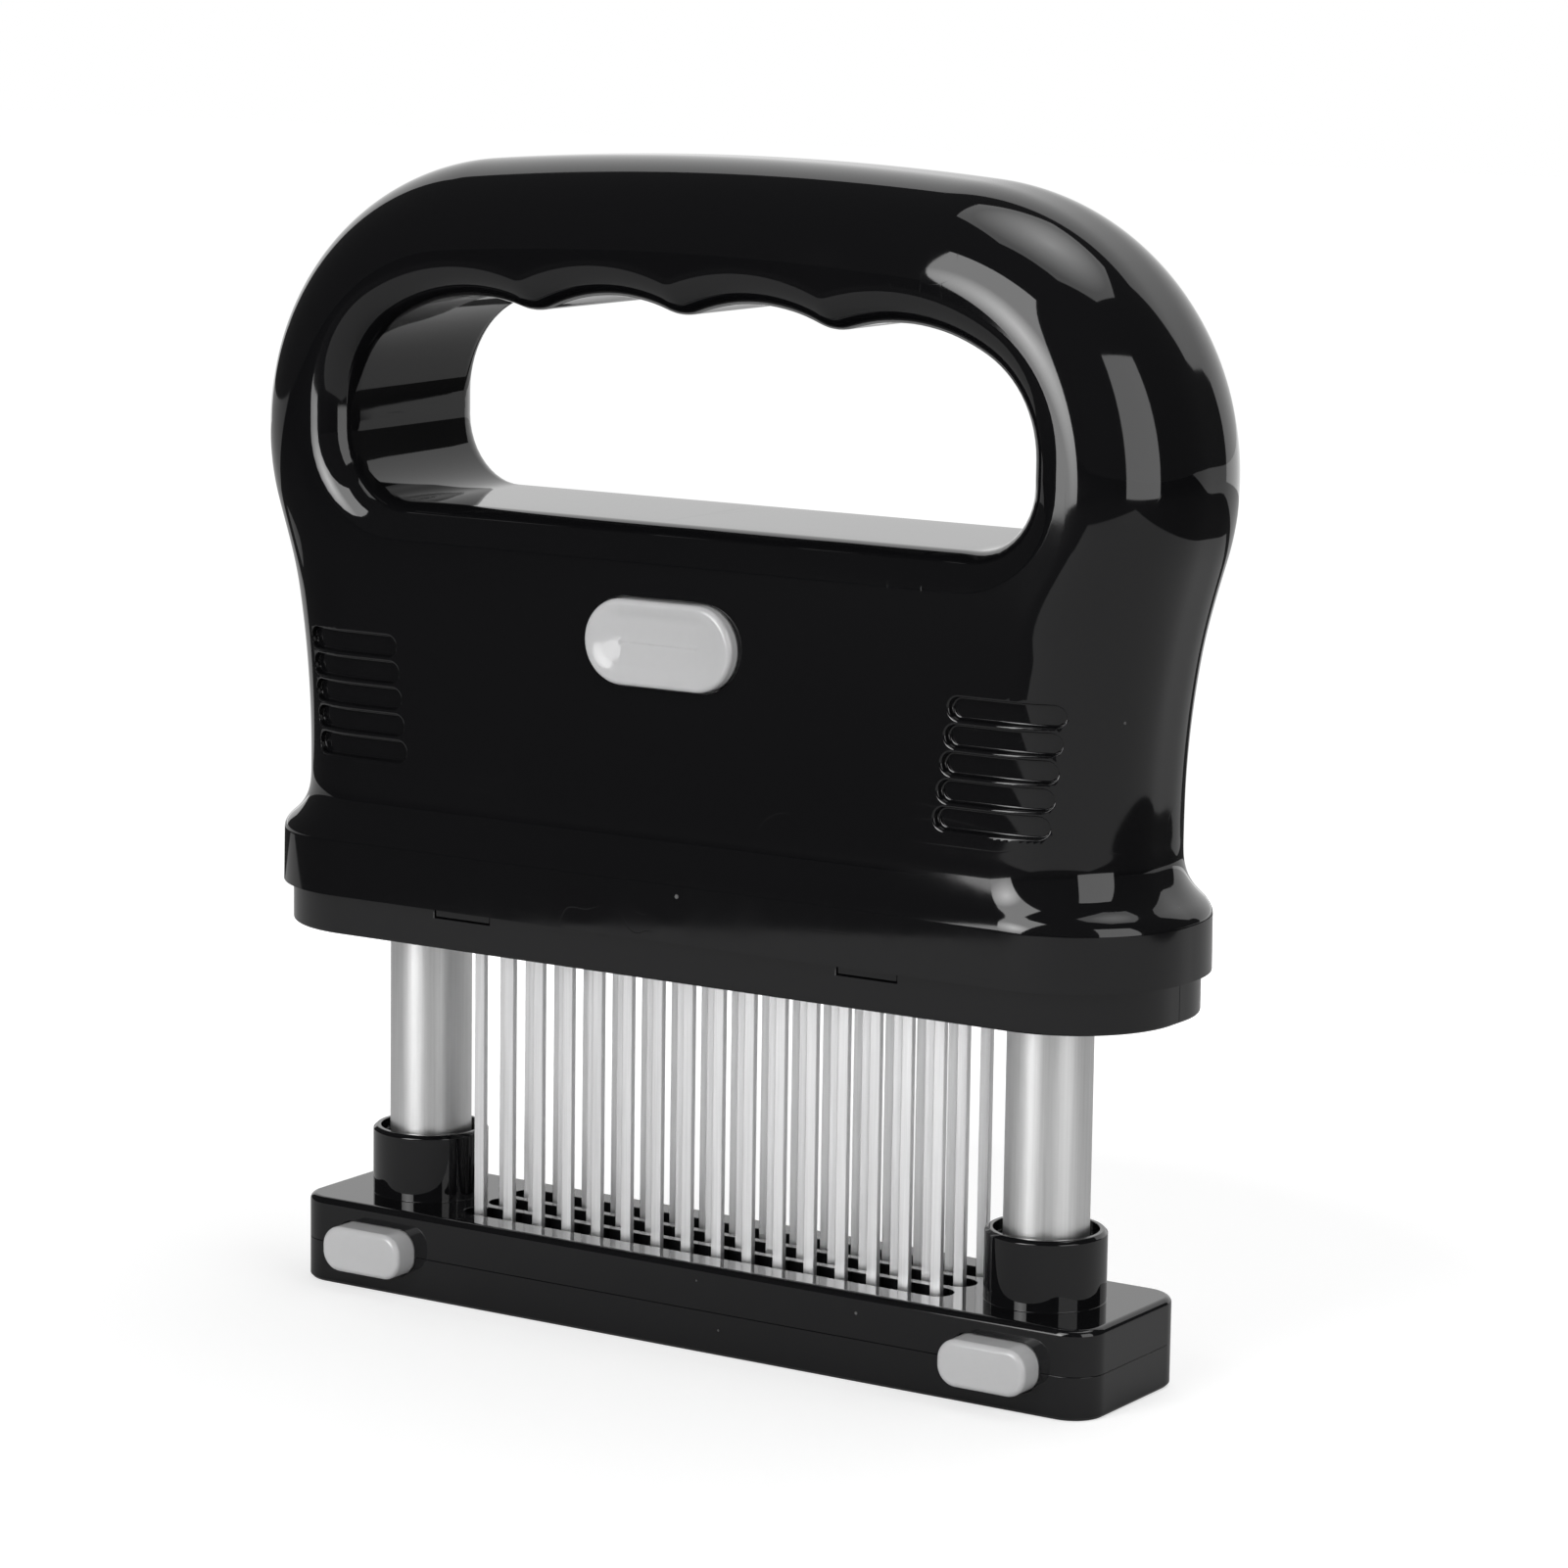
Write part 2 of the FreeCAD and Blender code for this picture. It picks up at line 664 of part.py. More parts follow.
def housing_form(name, inset, drop="0", bevelled=False):
    """The whole housing without its opening, inset; drop lengthens the flange downwards."""
    body = body_of(name)
    half = f"({FRONT_FACE} - {inset})"
    pad(body, housing_outline(body, name + "_outline", inset), f"2 * {half}", symmetric=True)

    def rim(bounds):
        on_face = flat_at(bounds, "Y", half) or flat_at(bounds, "Y", f"-{half}")
        return on_face and not flat_at(bounds, "Z", "flare_top")

    soften(body, f"edge_round - {inset}", rim, bevelled)
    sections = []
    for index, (down, out) in enumerate(FLARE[::len(FLARE) - 1] if bevelled else FLARE):
        section = Outline(body, f"{name}_flare{index}", "XY_Plane",
                          f"flare_top - {down} * (flare_top - flange_top)")
        section.rounded(f"waist_width + {out} * (flange_width - waist_width) - 2 * {inset}",
                        f"body_depth + {out} * (flange_depth - body_depth) - 2 * {inset}",
                        f"edge_round + {out} * (flange_round - edge_round) - {inset}")
        sections.append(section.sketch)
    flare = body.newObject("PartDesign::AdditiveLoft", name + "_flare")
    flare.Profile = sections[0]
    flare.Sections = sections[1:]
    flare.Ruled = bevelled
    doc.recompute()
    flange = Outline(body, name + "_flange", "XY_Plane", f"flange_bottom - {drop}")
    flange.rounded(f"flange_width - 2 * {inset}", f"flange_depth - 2 * {inset}",
                   f"flange_round - {inset}")
    pad(body, flange, f"flange_top - flange_bottom + {drop}")
    return body


def opening_plug(name, grow, bevelled=False):
    """What the finger opening takes away, with flared mouths that round its edges."""
    half = f"({FRONT_FACE} - {grow} + skim)"
    reach = f"(opening_width / 2 + {grow} + opening_round + play)"
    low = f"(opening_floor - {grow} - opening_round - play)"
    high = f"(overall_height - grip_thickness + {grow} + opening_round + play)"
    frame = body_of(name + "_frame")
    sheet_outline = Outline(frame, name + "_sheet", "XZ_Plane")
    sheet_outline.rectangle(f"2 * {reach}", f"{high} - {low}", "0", f"({high} + {low}) / 2")
    pad(frame, sheet_outline, f"2 * {half}", symmetric=True)
    pocket(frame, opening_outline(frame, name + "_hole", grow), f"2 * {half}", symmetric=True)

    def mouth(bounds):
        on_face = flat_at(bounds, "Y", half) or flat_at(bounds, "Y", f"-{half}")
        return on_face and bounds.XMax < value(reach) - 0.01 and bounds.XMin > 0.01 - value(reach)

    soften(frame, f"opening_round - {grow}", mouth, bevelled)
    block = box(name + "_block", (f"-{reach}", f"-{half}", low), (reach, half, high))
    return cut(name, block, frame)


def screw_places():
    """Name, X and Z of the six screws of the housing."""
    rows = (("upper", "upper_boss_reach", "upper_boss_level"),
            ("middle", "lower_boss_reach", "middle_boss_level"),
            ("lower", "lower_boss_reach", "lower_boss_level"))
    for level, reach, z in rows:
        for side, sign in SIDES.items():
            yield f"{level}_{side}", f"({sign} * {reach})", z


def housing_insides(core):
    """Ribs with half-round notches for the posts, and the bosses of the screws, front and rear."""
    levels = ("rib_level", "rib_level + rib_pitch", f"{ROD_SEAT} - rib_thick - clearance")
    ribs, notches = [], []
    for side, sign in SIDES.items():
        near, far = ("rib_reach", str(FAR)) if sign > 0 else (str(-FAR), "-rib_reach")
        for index, level in enumerate(levels):
            ribs.append(box(f"rib_{side}{index}", (near, -FAR, level),
                            (far, FAR, f"{level} + rib_thick")))
        notches.append(cylinder(f"post_notch_{side}", "ring_radius + rib_gap", "0", str(FAR),
                                x=f"{sign} * {POST_X}"))
    ribs_cut = cut("notched_ribs", fuse("ribs", *ribs), *notches)
    front_posts, rear_posts, pilots = [], [], []
    for place_name, x, z in screw_places():
        front_posts.append(cylinder(f"front_boss_{place_name}", "boss_radius", str(-FAR), "0", x, z, "y"))
        rear_posts.append(cylinder(f"rear_boss_{place_name}", "boss_radius", "0", str(FAR), x, z, "y"))
        rear_posts.append(cylinder(f"seat_boss_{place_name}", "seat_radius", "screw_seat - shell_wall",
                                   str(FAR), x, z, "y"))
        pilots.append(cylinder(f"pilot_{place_name}", "screw_radius",
                               "screw_seat - screw_length", "screw_seat", x, z, "y"))
    front = cut("front_insides", common("front_kept", fuse("front_bosses", ribs_cut, *front_posts), core),
                *pilots)
    rear = common("rear_kept", fuse("rear_bosses", ribs_cut, *rear_posts, *latch_rails(), spring_pin()),
                  core)
    return front, rear


def latch_rails():
    """C-shaped rails on the rear half that guide the latch plate."""
    rails = []
    for side, sign in SIDES.items():
        inner, outer = "(latch_width / 2 - 1.5)", "(latch_width / 2 + play + rib_thick)"
        xs = (inner, outer) if sign > 0 else (f"-{outer}", f"-{inner}")
        rail = box(f"latch_rail_{side}", (xs[0], "0", "latch_level - play - rib_thick"),
                   (xs[1], str(FAR), "latch_level + latch_thick + play + rib_thick"))
        groove_xs = ("0", "latch_width / 2 + play") if sign > 0 else ("-latch_width / 2 - play", "0")
        groove = box(f"latch_groove_{side}", (groove_xs[0], str(-FAR), "latch_level - play"),
                     (groove_xs[1], str(FAR), "latch_level + latch_thick + play"))
        rails.append(cut(f"latch_guide_{side}", rail, groove))
    return rails


def spring_pin():
    return cylinder("button_spring_pin", "spring_pin", f"{INNER_FACE} - 3", str(FAR), "0",
                    BUTTON_SPRING_LEVEL, "y")


def recess_prisms():
    """Bars with round ends that shape the moulded side recesses."""
    body = body_of("recess_bars")
    outline = Outline(body, "recess_outlines", "XZ_Plane")
    for sign in SIDES.values():
        for index in range(RECESSES):
            outline.slot("recess_length", "recess_width",
                         f"{sign} * (recess_inner - {index} * recess_step + recess_length / 2)",
                         f"recess_level - {index} * recess_pitch")
    pad(body, outline, str(FAR), symmetric=True)
    return body


def make_housing():
    outer = housing_form("outer_form", "0")
    core = cut("core", housing_form("core_form", "shell_wall", "shell_wall", bevelled=True),
               opening_plug("core_plug", "shell_wall", bevelled=True))
    skin = cut("skin", outer, housing_form("skin_form", "recess_depth", "shell_wall"))
    recesses = common("recesses", recess_prisms(), skin)
    shell = cut("shell", outer, core, opening_plug("outer_plug", "0"), recesses)
    front, rear = housing_insides(core)
    front_half = box("front_half", (-FAR, -FAR, -FAR), (FAR, 0, FAR))
    rear_half = box("rear_half", (-FAR, 0, -FAR), (FAR, FAR, FAR))

    window = body_of("button_window")
    outline = Outline(window, "window_outline", "XZ_Plane")
    outline.slot("button_length + 2 * button_gap", "button_height + 2 * button_gap", "0", "button_level")
    pad(window, outline, "body_depth")
    front_blank = common("front_blank", fuse("front_full", shell, front), front_half)
    finish(cut("front_shell", front_blank, window), "front_shell")

    seats = []
    for place_name, x, z in screw_places():
        seats.append(cylinder(f"head_seat_{place_name}", "screw_head + play", "screw_seat", str(FAR),
                              x, z, "y"))
        seats.append(cylinder(f"way_through_{place_name}", "screw_radius + clearance", "-shell_wall",
                              "screw_seat", x, z, "y"))
    rear_blank = common("rear_blank", fuse("rear_full", shell, rear), rear_half)
    finish(cut("rear_shell", rear_blank, *seats), "rear_shell")

    screws = [screw(f"shell_screw_{place_name}", "screw_radius", "screw_head", "screw_seat",
                    "(screw_length - play)", x, z, "y", 1) for place_name, x, z in screw_places()]
    finish(fuse("shell_screws", *screws), "shell_screws")


# ---------------------------------------------------------------- release button and latch
def make_release():
    cap = body_of("button_cap")
    face = f"{FRONT_FACE} + button_proud"
    outline = Outline(cap, "button_face", "XZ_Plane", face)
    outline.slot("button_length", "button_height", "0", "button_level")
    pad(cap, outline, "button_proud + shell_wall + clearance", back=True)
    dress(cap, "button_edge", lambda bounds: flat_at(bounds, "Y", f"-({face})"), kind="Chamfer")
    flange = Outline(cap, "button_flange_outline", "XZ_Plane", f"{INNER_FACE} - clearance")
    flange.slot("button_length + 2 * button_lip", "button_height + 2 * button_lip", "0", "button_level")
    pad(cap, flange, "button_flange", back=True)
    stem_low = "latch_level + latch_thick / 2 - stem_height / 2"
    stem = box("button_stem", ("-stem_width / 2", f"-{BUTTON_BACK}", stem_low),
               ("stem_width / 2", f"stem_length - {BUTTON_BACK}", f"{stem_low} + stem_height"))
    socket = box("latch_socket", ("-latch_width", f"-{BUTTON_BACK}", "latch_level"),
                 ("latch_width", "0", "latch_level + latch_thick"))
    finish(cut("release_button", fuse("button_blank", cap, stem), socket), "release_button")

    plate = box("latch_plate", ("-latch_width / 2", f"-{BUTTON_BACK}", "latch_level"),
                ("latch_width / 2", LATCH_END, "latch_level + latch_thick"))
    tab = box("latch_tab", ("-tab_width / 2", f"{LATCH_END} - latch_thick", "latch_level"),
              ("tab_width / 2", LATCH_END, "latch_level + tab_height"))
    window = box("latch_window",
                 ("-catch_width / 2 - play", "-catch_depth / 2 - button_travel - play", "latch_level - 1"),
                 ("catch_width / 2 + play", "catch_depth / 2 - catch_bite + play",
                  "latch_level + latch_thick + 1"))
    finish(cut("release_latch", fuse("latch_blank", plate, tab), window), "release_latch")

    spring = coil("release_spring", "button_spring_radius", "button_spring_wire",
                  "button_spring_turns", LATCH_END, INNER_FACE)
    place(spring, y=f"{LATCH_END} + button_spring_wire / 2", z=BUTTON_SPRING_LEVEL, axis="y")
    finish(spring, "release_spring")


# ---------------------------------------------------------------- blade cartridge
def make_skirt():
    """Shell under the flange with a tongue that goes up inside it, split at the seam plane."""
    skirt = body_of("skirt_form")
    outer = Outline(skirt, "skirt_outline", "XY_Plane", "skirt_bottom")
    outer.rounded("flange_width - 2 * skirt_inset", "flange_depth - 2 * skirt_inset",
                  "flange_round - skirt_inset")
    pad(skirt, outer, "flange_bottom - skirt_bottom")
    dress(skirt, "play", lambda bounds: flat_at(bounds, "Z", "skirt_bottom"), kind="Chamfer")
    tongue = Outline(skirt, "tongue_outline", "XY_Plane", "flange_bottom")
    tongue.rounded(TONGUE_WIDTH, TONGUE_DEPTH, TONGUE_ROUND)
    pad(skirt, tongue, "tongue_top - flange_bottom")
    hollow = Outline(skirt, "skirt_hollow", "XY_Plane", "tongue_top")
    hollow.rounded(f"{TONGUE_WIDTH} - 2 * skirt_wall", f"{TONGUE_DEPTH} - 2 * skirt_wall",
                   f"{TONGUE_ROUND} - skirt_wall")
    pocket(skirt, hollow, f"tongue_top - {CARRIER_LEVEL}")
    slots = Outline(skirt, "skirt_slots", "XY_Plane", CARRIER_LEVEL)
    for row in range(len(ROWS)):
        slots.slot(f"{BLADES_LENGTH} + 2 * blade_width", "skirt_slot", "0", f"{row - 1} * row_pitch")
    pocket(skirt, slots, "2 * skirt_floor")
    holes = Outline(skirt, "skirt_post_holes", "XY_Plane", CARRIER_LEVEL)
    studs = Outline(skirt, "stud_outlines", "XY_Plane", CARRIER_LEVEL)
    pilots = Outline(skirt, "stud_pilots", "XY_Plane", CLAMP_LEVEL)
    for sign in SIDES.values():
        holes.circle(BUSH_HOLE, f"{sign} * {POST_X}")
        for row in (-1, 1):
            studs.circle("stud_radius", f"{sign} * stud_reach", f"{row} * stud_row")
            pilots.circle("screw_radius", f"{sign} * stud_reach", f"{row} * stud_row")
    pocket(skirt, holes, "2 * skirt_floor")
    pad(skirt, studs, f"{CLAMP_LEVEL} - {CARRIER_LEVEL}")
    pocket(skirt, pilots, "clamp_screw_length - clamp_thick")
    windows = Outline(skirt, "snap_windows", "XZ_Plane")
    for sign in SIDES.values():
        windows.rectangle("snap_width", "snap_height", f"{sign} * snap_reach",
                          "flange_bottom - snap_height / 2")
    pocket(skirt, windows, "2 * flange_depth", symmetric=True)
    for label, low, high in (("skirt_front", -FAR, 0), ("skirt_rear", 0, FAR)):
        half = box(label + "_half", (-FAR, low, -FAR), (FAR, high, FAR))
        finish(common(label, skirt, half), label)


def make_blades():
    """Rows of flat blades with a T-shaped head and a sharpened chisel tip."""
    first = f"-{BLADES - 1} * blade_pitch / 2"
    half, head = "blade_width / 2", "head_width / 2"
    for index, row in enumerate(ROWS):
        body = body_of("blade_row_" + row)
        outline = Outline(body, f"blade_outline_{row}", "XZ_Plane")
        outline.polygon((f"{first} + {half}", "blade_tip"),
                        (f"{first} + {half}", HEADS_LEVEL),
                        (f"{first} + {head}", HEADS_LEVEL),
                        (f"{first} + {head}", CLAMP_LEVEL),
                        (f"{first} - {head}", CLAMP_LEVEL),
                        (f"{first} - {head}", HEADS_LEVEL),
                        (f"{first} - {half}", HEADS_LEVEL),
                        (f"{first} - {half}", "blade_tip + tip_length"))
        blade = pad(body, outline, "blade_thick", symmetric=True)
        repeat(body, blade, "blade_pitch", BLADES)

        def cutting_edge(bounds):
            return bounds.ZMax < value("blade_tip + tip_length") + 0.01 and bounds.YLength < 0.01

        dress(body, "tip_bevel", cutting_edge, kind="Chamfer")
        place(body, y=f"{index - 1} * row_pitch")
        finish(body, "blade_row_" + row)


def make_carrier():
    """Comb plate with a close hole for every blade."""
    carrier = body_of("blade_carrier")
    outline = Outline(carrier, "carrier_outline", "XY_Plane", CARRIER_LEVEL)
    outline.rounded("carrier_length", "carrier_depth", "plate_corner")
    pad(carrier, outline, "carrier_thick")
    studs = Outline(carrier, "carrier_stud_holes", "XY_Plane", HEADS_LEVEL)
    notches = Outline(carrier, "carrier_bush_notches", "XY_Plane", HEADS_LEVEL)
    for sign in SIDES.values():
        notches.circle("bush_flange + clearance", f"{sign} * {POST_X}")
        for row in (-1, 1):
            studs.circle("stud_radius + clearance", f"{sign} * stud_reach", f"{row} * stud_row")
    pocket(carrier, studs, "2 * carrier_thick")
    pocket(carrier, notches, "2 * carrier_thick")
    holes = Outline(carrier, "blade_holes", "XY_Plane", HEADS_LEVEL)
    for row in range(len(ROWS)):
        holes.rectangle("blade_width + 2 * blade_gap", "blade_thick + 2 * blade_gap",
                        f"-{BLADES - 1} * blade_pitch / 2", f"{row - 1} * row_pitch")
    feature = pocket(carrier, holes, "2 * carrier_thick")
    repeat(carrier, feature, "blade_pitch", BLADES)
    finish(carrier, "blade_carrier")


def make_clamp():
    """Plate over the blade heads, with the tower that the release latch holds."""
    clamp = body_of("clamp_plate")
    outline = Outline(clamp, "clamp_outline", "XY_Plane", CLAMP_LEVEL)
    outline.rounded("clamp_length", "clamp_depth", "plate_corner")
    pad(clamp, outline, "clamp_thick")
    holes = Outline(clamp, "clamp_holes", "XY_Plane", CLAMP_TOP)
    for sign in SIDES.values():
        holes.circle(BUSH_HOLE, f"{sign} * {POST_X}")
        for row in (-1, 1):
            holes.circle("screw_radius + clearance", f"{sign} * stud_reach", f"{row} * stud_row")
    pocket(clamp, holes, "2 * clamp_thick")
    half, notch = "catch_depth / 2", "catch_depth / 2 - catch_bite"
    low, top = "latch_level - play", f"{NOTCH_TOP} + catch_lip"
    tower = Outline(clamp, "catch_profile", "YZ_Plane")
    tower.polygon((f"-{half}", CLAMP_TOP), (half, CLAMP_TOP), (half, low), (notch, low),
                  (notch, NOTCH_TOP), (half, NOTCH_TOP), (half, f"{NOTCH_TOP} + catch_lip / 4"),
                  (notch, top), (f"-{half}", top))
    pad(clamp, tower, "catch_width", symmetric=True)
    gusset = Outline(clamp, "gusset_profile", "XZ_Plane")
    gusset.polygon(("-gusset_reach", CLAMP_TOP), ("gusset_reach", CLAMP_TOP),
                   ("catch_width / 2", f"{CLAMP_TOP} + gusset_height"),
                   ("-catch_width / 2", f"{CLAMP_TOP} + gusset_height"))
    pad(clamp, gusset, "gusset_thick", symmetric=True)
    finish(clamp, "clamp_plate")
    screws = []
    for side, sign in SIDES.items():
        for row in (-1, 1):
            screws.append(screw(f"clamp_screw_{side}{row + 1}", "screw_radius", "screw_head", CLAMP_TOP,
                                "(clamp_screw_length - clearance)", f"({sign} * stud_reach)",
                                f"({row} * stud_row)", "z", 1))
    finish(fuse("clamp_screws", *screws), "clamp_screws")


def make_bushes():
    inner = "post_radius + slide_gap"
    for side, sign in SIDES.items():
        bush = turned("guide_bush_" + side,
                      (inner, "skirt_bottom + play"), ("bush_radius", "skirt_bottom + play"),
                      ("bush_radius", CARRIER_LEVEL), ("bush_flange", CARRIER_LEVEL),
                      ("bush_flange", CLAMP_LEVEL), ("bush_radius", CLAMP_LEVEL),
                      ("bush_radius", "bush_top"), (inner, "bush_top"),
                      x=f"{sign} * {POST_X}")
        finish(bush, "guide_bush_" + side)


# ---------------------------------------------------------------- posts, rods and return springs
def make_posts():
    """Tube posts with a ring near the top and a turned foot that the base's latch plates hold."""
    rings = []
    for side, sign in SIDES.items():
        x = f"({sign} * {POST_X})"
        ring_top = f"{RING_LEVEL} + ring_thick"
        groove = "post_radius - ring_groove"
        post = turned("post_" + side,
                      ("post_bore", "post_start"), ("post_radius", "post_start"),
                      ("post_radius", RING_LEVEL), (groove, RING_LEVEL), (groove, ring_top),
                      ("post_radius", ring_top), ("post_radius", "post_top - post_chamfer"),
                      ("post_radius - post_chamfer", "post_top"), ("post_bore", "post_top"), x=x)
        finish(post, "post_" + side)
        neck_low, neck_high = f"{PLATE_LOW} - neck_room", f"{PLATE_HIGH} + neck_room"
        foot = turned("post_foot_" + side,
                      ("0", "base_wall"), ("post_radius - post_chamfer", "base_wall"),
                      ("post_radius", "base_wall + post_chamfer"), ("post_radius", neck_low),
                      ("neck_radius", neck_low), ("neck_radius", neck_high),
                      ("post_radius", neck_high), ("post_radius", "post_start"),
                      ("post_bore", "post_start"), ("post_bore", f"{SPRING_START} - post_chamfer"),
                      ("post_bore - post_chamfer", SPRING_START), ("0", SPRING_START), x=x)
        finish(foot, "post_foot_" + side)
        gap_low, gap_high = ("0", "ring_radius + play") if sign > 0 else ("-ring_radius - play", "0")
        rings.append(cut("ring_" + side,
                         cylinder(f"ring_disc_{side}", "ring_radius", RING_LEVEL, ring_top, x),
                         cylinder(f"ring_bore_{side}", groove, RING_LEVEL, ring_top, x),
                         box(f"ring_gap_{side}", (f"{x} + {gap_low}", "-ring_gap / 2", RING_LEVEL),
                             (f"{x} + {gap_high}", "ring_gap / 2", ring_top))))
        rod = turned("spring_rod_" + side,
                     ("0", "collar_bottom"), ("rod_collar", "collar_bottom"),
                     ("rod_collar", "collar_bottom + collar_length"),
                     ("rod_radius", "collar_bottom + collar_length"), ("rod_radius", ROD_SEAT),
                     ("rod_flange", ROD_SEAT), ("rod_flange", ROD_TOP), ("0", ROD_TOP), x=x)
        finish(rod, "spring_rod_" + side)
        spring = coil("return_spring_" + side, "spring_radius", "spring_wire", "spring_turns",
                      SPRING_START, "collar_bottom")
        place(spring, x=x, z=f"{SPRING_START} + spring_wire / 2")
        finish(spring, "return_spring_" + side)
    finish(fuse("retaining_rings", *rings), "retaining_rings")


# ---------------------------------------------------------------- foot of the object
def push_windows(body, name):
    """Openings of the two push buttons through the front wall."""
    outline = Outline(body, name, "XZ_Plane", "base_depth / 2 + play")
    for sign in SIDES.values():
        outline.rounded("push_length + 2 * push_gap", "push_height + 2 * push_gap",
                        "push_round + push_gap", f"{sign} * {POST_X}", "push_level")
    pocket(body, outline, "base_wall + 2 * play")


def blade_slots(body, name, level):
    outline = Outline(body, name, "XY_Plane", level)
    for row in range(len(ROWS)):
        outline.slot(SLOT_LENGTH, "slot_width", "0", f"{row - 1} * row_pitch")
    pocket(body, outline, "base_height")


def cavity(body, name, level, depth, back):
    """Hollow of a cover round the block that holds the blade slots."""
    outline = Outline(body, name, "XY_Plane", level)
    outline.rounded("base_length - 2 * base_wall", "base_depth - 2 * base_wall", "hollow_corner")
    outline.rectangle("block_length", "block_depth")
    pocket(body, outline, depth, back=back)


def push_rooms(body, name, depth, back):
    """Room behind the push buttons for the travel of their flanges."""
    front, rear = "(base_depth / 2 - base_wall)", f"({PUSH_BACK} - push_travel - play)"
    outline = Outline(body, name, "XY_Plane", "base_seam")
    for sign in SIDES.values():
        outline.rectangle("push_length + 2 * push_lip + 2 * play", f"{front} - {rear}",
                          f"{sign} * {POST_X}", f"-({front} + {rear}) / 2")
    pocket(body, outline, depth, back=back)


def make_base_top():
    cover = body_of("base_top_cover")
    outline = Outline(cover, "top_cover_outline", "XY_Plane", "base_seam")
    outline.rounded("base_length", "base_depth", "base_corner")
    pad(cover, outline, "base_height - base_seam")
    dress(cover, "base_edge", lambda bounds: flat_at(bounds, "Z", "base_height"))
    cavity(cover, "top_cover_hollow", "base_seam", "base_height - base_wall - base_seam", back=True)
    sleeves = Outline(cover, "sleeve_outlines", "XY_Plane", f"{PLATE_HIGH} + play")
    bores = Outline(cover, "sleeve_bores", "XY_Plane", "sleeve_top")
    rims = Outline(cover, "sleeve_rims", "XY_Plane", "sleeve_top")
    bosses = Outline(cover, "cover_bosses", "XY_Plane", "base_seam")
    pilots = Outline(cover, "cover_pilots", "XY_Plane", "base_seam")
    for sign in SIDES.values():
        sleeves.circle("sleeve_radius", f"{sign} * {POST_X}")
        bores.circle("post_radius + slide_gap", f"{sign} * {POST_X}")
        rims.circle("sleeve_rim", f"{sign} * {POST_X}")
        bosses.circle("foot_boss_radius", f"{sign} * foot_boss_reach", "-foot_boss_row")
        pilots.circle("foot_screw_radius", f"{sign} * foot_boss_reach", "-foot_boss_row")
    pad(cover, sleeves, f"sleeve_top - {PLATE_HIGH} - play")

    def sleeve_edge(bounds):
        wide = abs(bounds.XLength - value("2 * sleeve_radius")) < 0.01
        return wide and flat_at(bounds, "Z", "sleeve_top")

    dress(cover, "sleeve_edge", sleeve_edge, kind="Chamfer")
    pocket(cover, bores, "2 * sleeve_top")
    pocket(cover, rims, "rim_depth")
    pad(cover, bosses, "base_height - base_seam - base_wall")
    pocket(cover, pilots, "foot_screw_length + base_wall - base_seam", back=True)
    push_rooms(cover, "top_cover_rooms", "base_height - base_wall - base_seam", back=True)
    blade_slots(cover, "top_cover_slots", "base_height")
    push_windows(cover, "top_cover_windows")
    finish(cover, "base_top_cover")


def make_base_bottom():
    cover = body_of("base_bottom_cover")
    outline = Outline(cover, "bottom_cover_outline")
    outline.rounded("base_length", "base_depth", "base_corner")
    pad(cover, outline, "base_seam")
    dress(cover, "sleeve_edge", lambda bounds: flat_at(bounds, "Z", "0"), kind="Chamfer")
    cavity(cover, "bottom_cover_hollow", "base_seam", "base_seam - base_wall", back=False)
    sockets = Outline(cover, "foot_sockets", "XY_Plane", "base_wall")
    bosses = Outline(cover, "screw_bosses", "XY_Plane", "base_wall")
    ways = Outline(cover, "screw_ways", "XY_Plane", "base_seam")
    heads = Outline(cover, "screw_head_seats")
    for sign in SIDES.values():
        sockets.circle("sleeve_radius", f"{sign} * {POST_X}")
        sockets.circle("post_radius + slide_gap", f"{sign} * {POST_X}")
        boss = (f"{sign} * foot_boss_reach", "-foot_boss_row")
        bosses.circle("foot_boss_radius", *boss)
        ways.circle("foot_screw_radius + clearance", *boss)
        heads.circle("foot_screw_head + clearance", *boss)
    pad(cover, sockets, f"{PLATE_LOW} - play - base_wall")
    pad(cover, bosses, "base_seam - base_wall")
    pocket(cover, ways, "2 * base_seam")
    pocket(cover, heads, "base_wall", back=True)
    push_rooms(cover, "bottom_cover_rooms", "base_seam - base_wall", back=False)
    blade_slots(cover, "bottom_cover_slots", "base_height")
    push_windows(cover, "bottom_cover_windows")
    finish(cover, "base_bottom_cover")
    screws = [screw("base_screw_" + side, "foot_screw_radius", "foot_screw_head", "base_wall",
                    "foot_screw_length", f"({sign} * foot_boss_reach)", "(-foot_boss_row)", "z", -1)
              for side, sign in SIDES.items()]
    finish(fuse("base_screws", *screws), "base_screws")


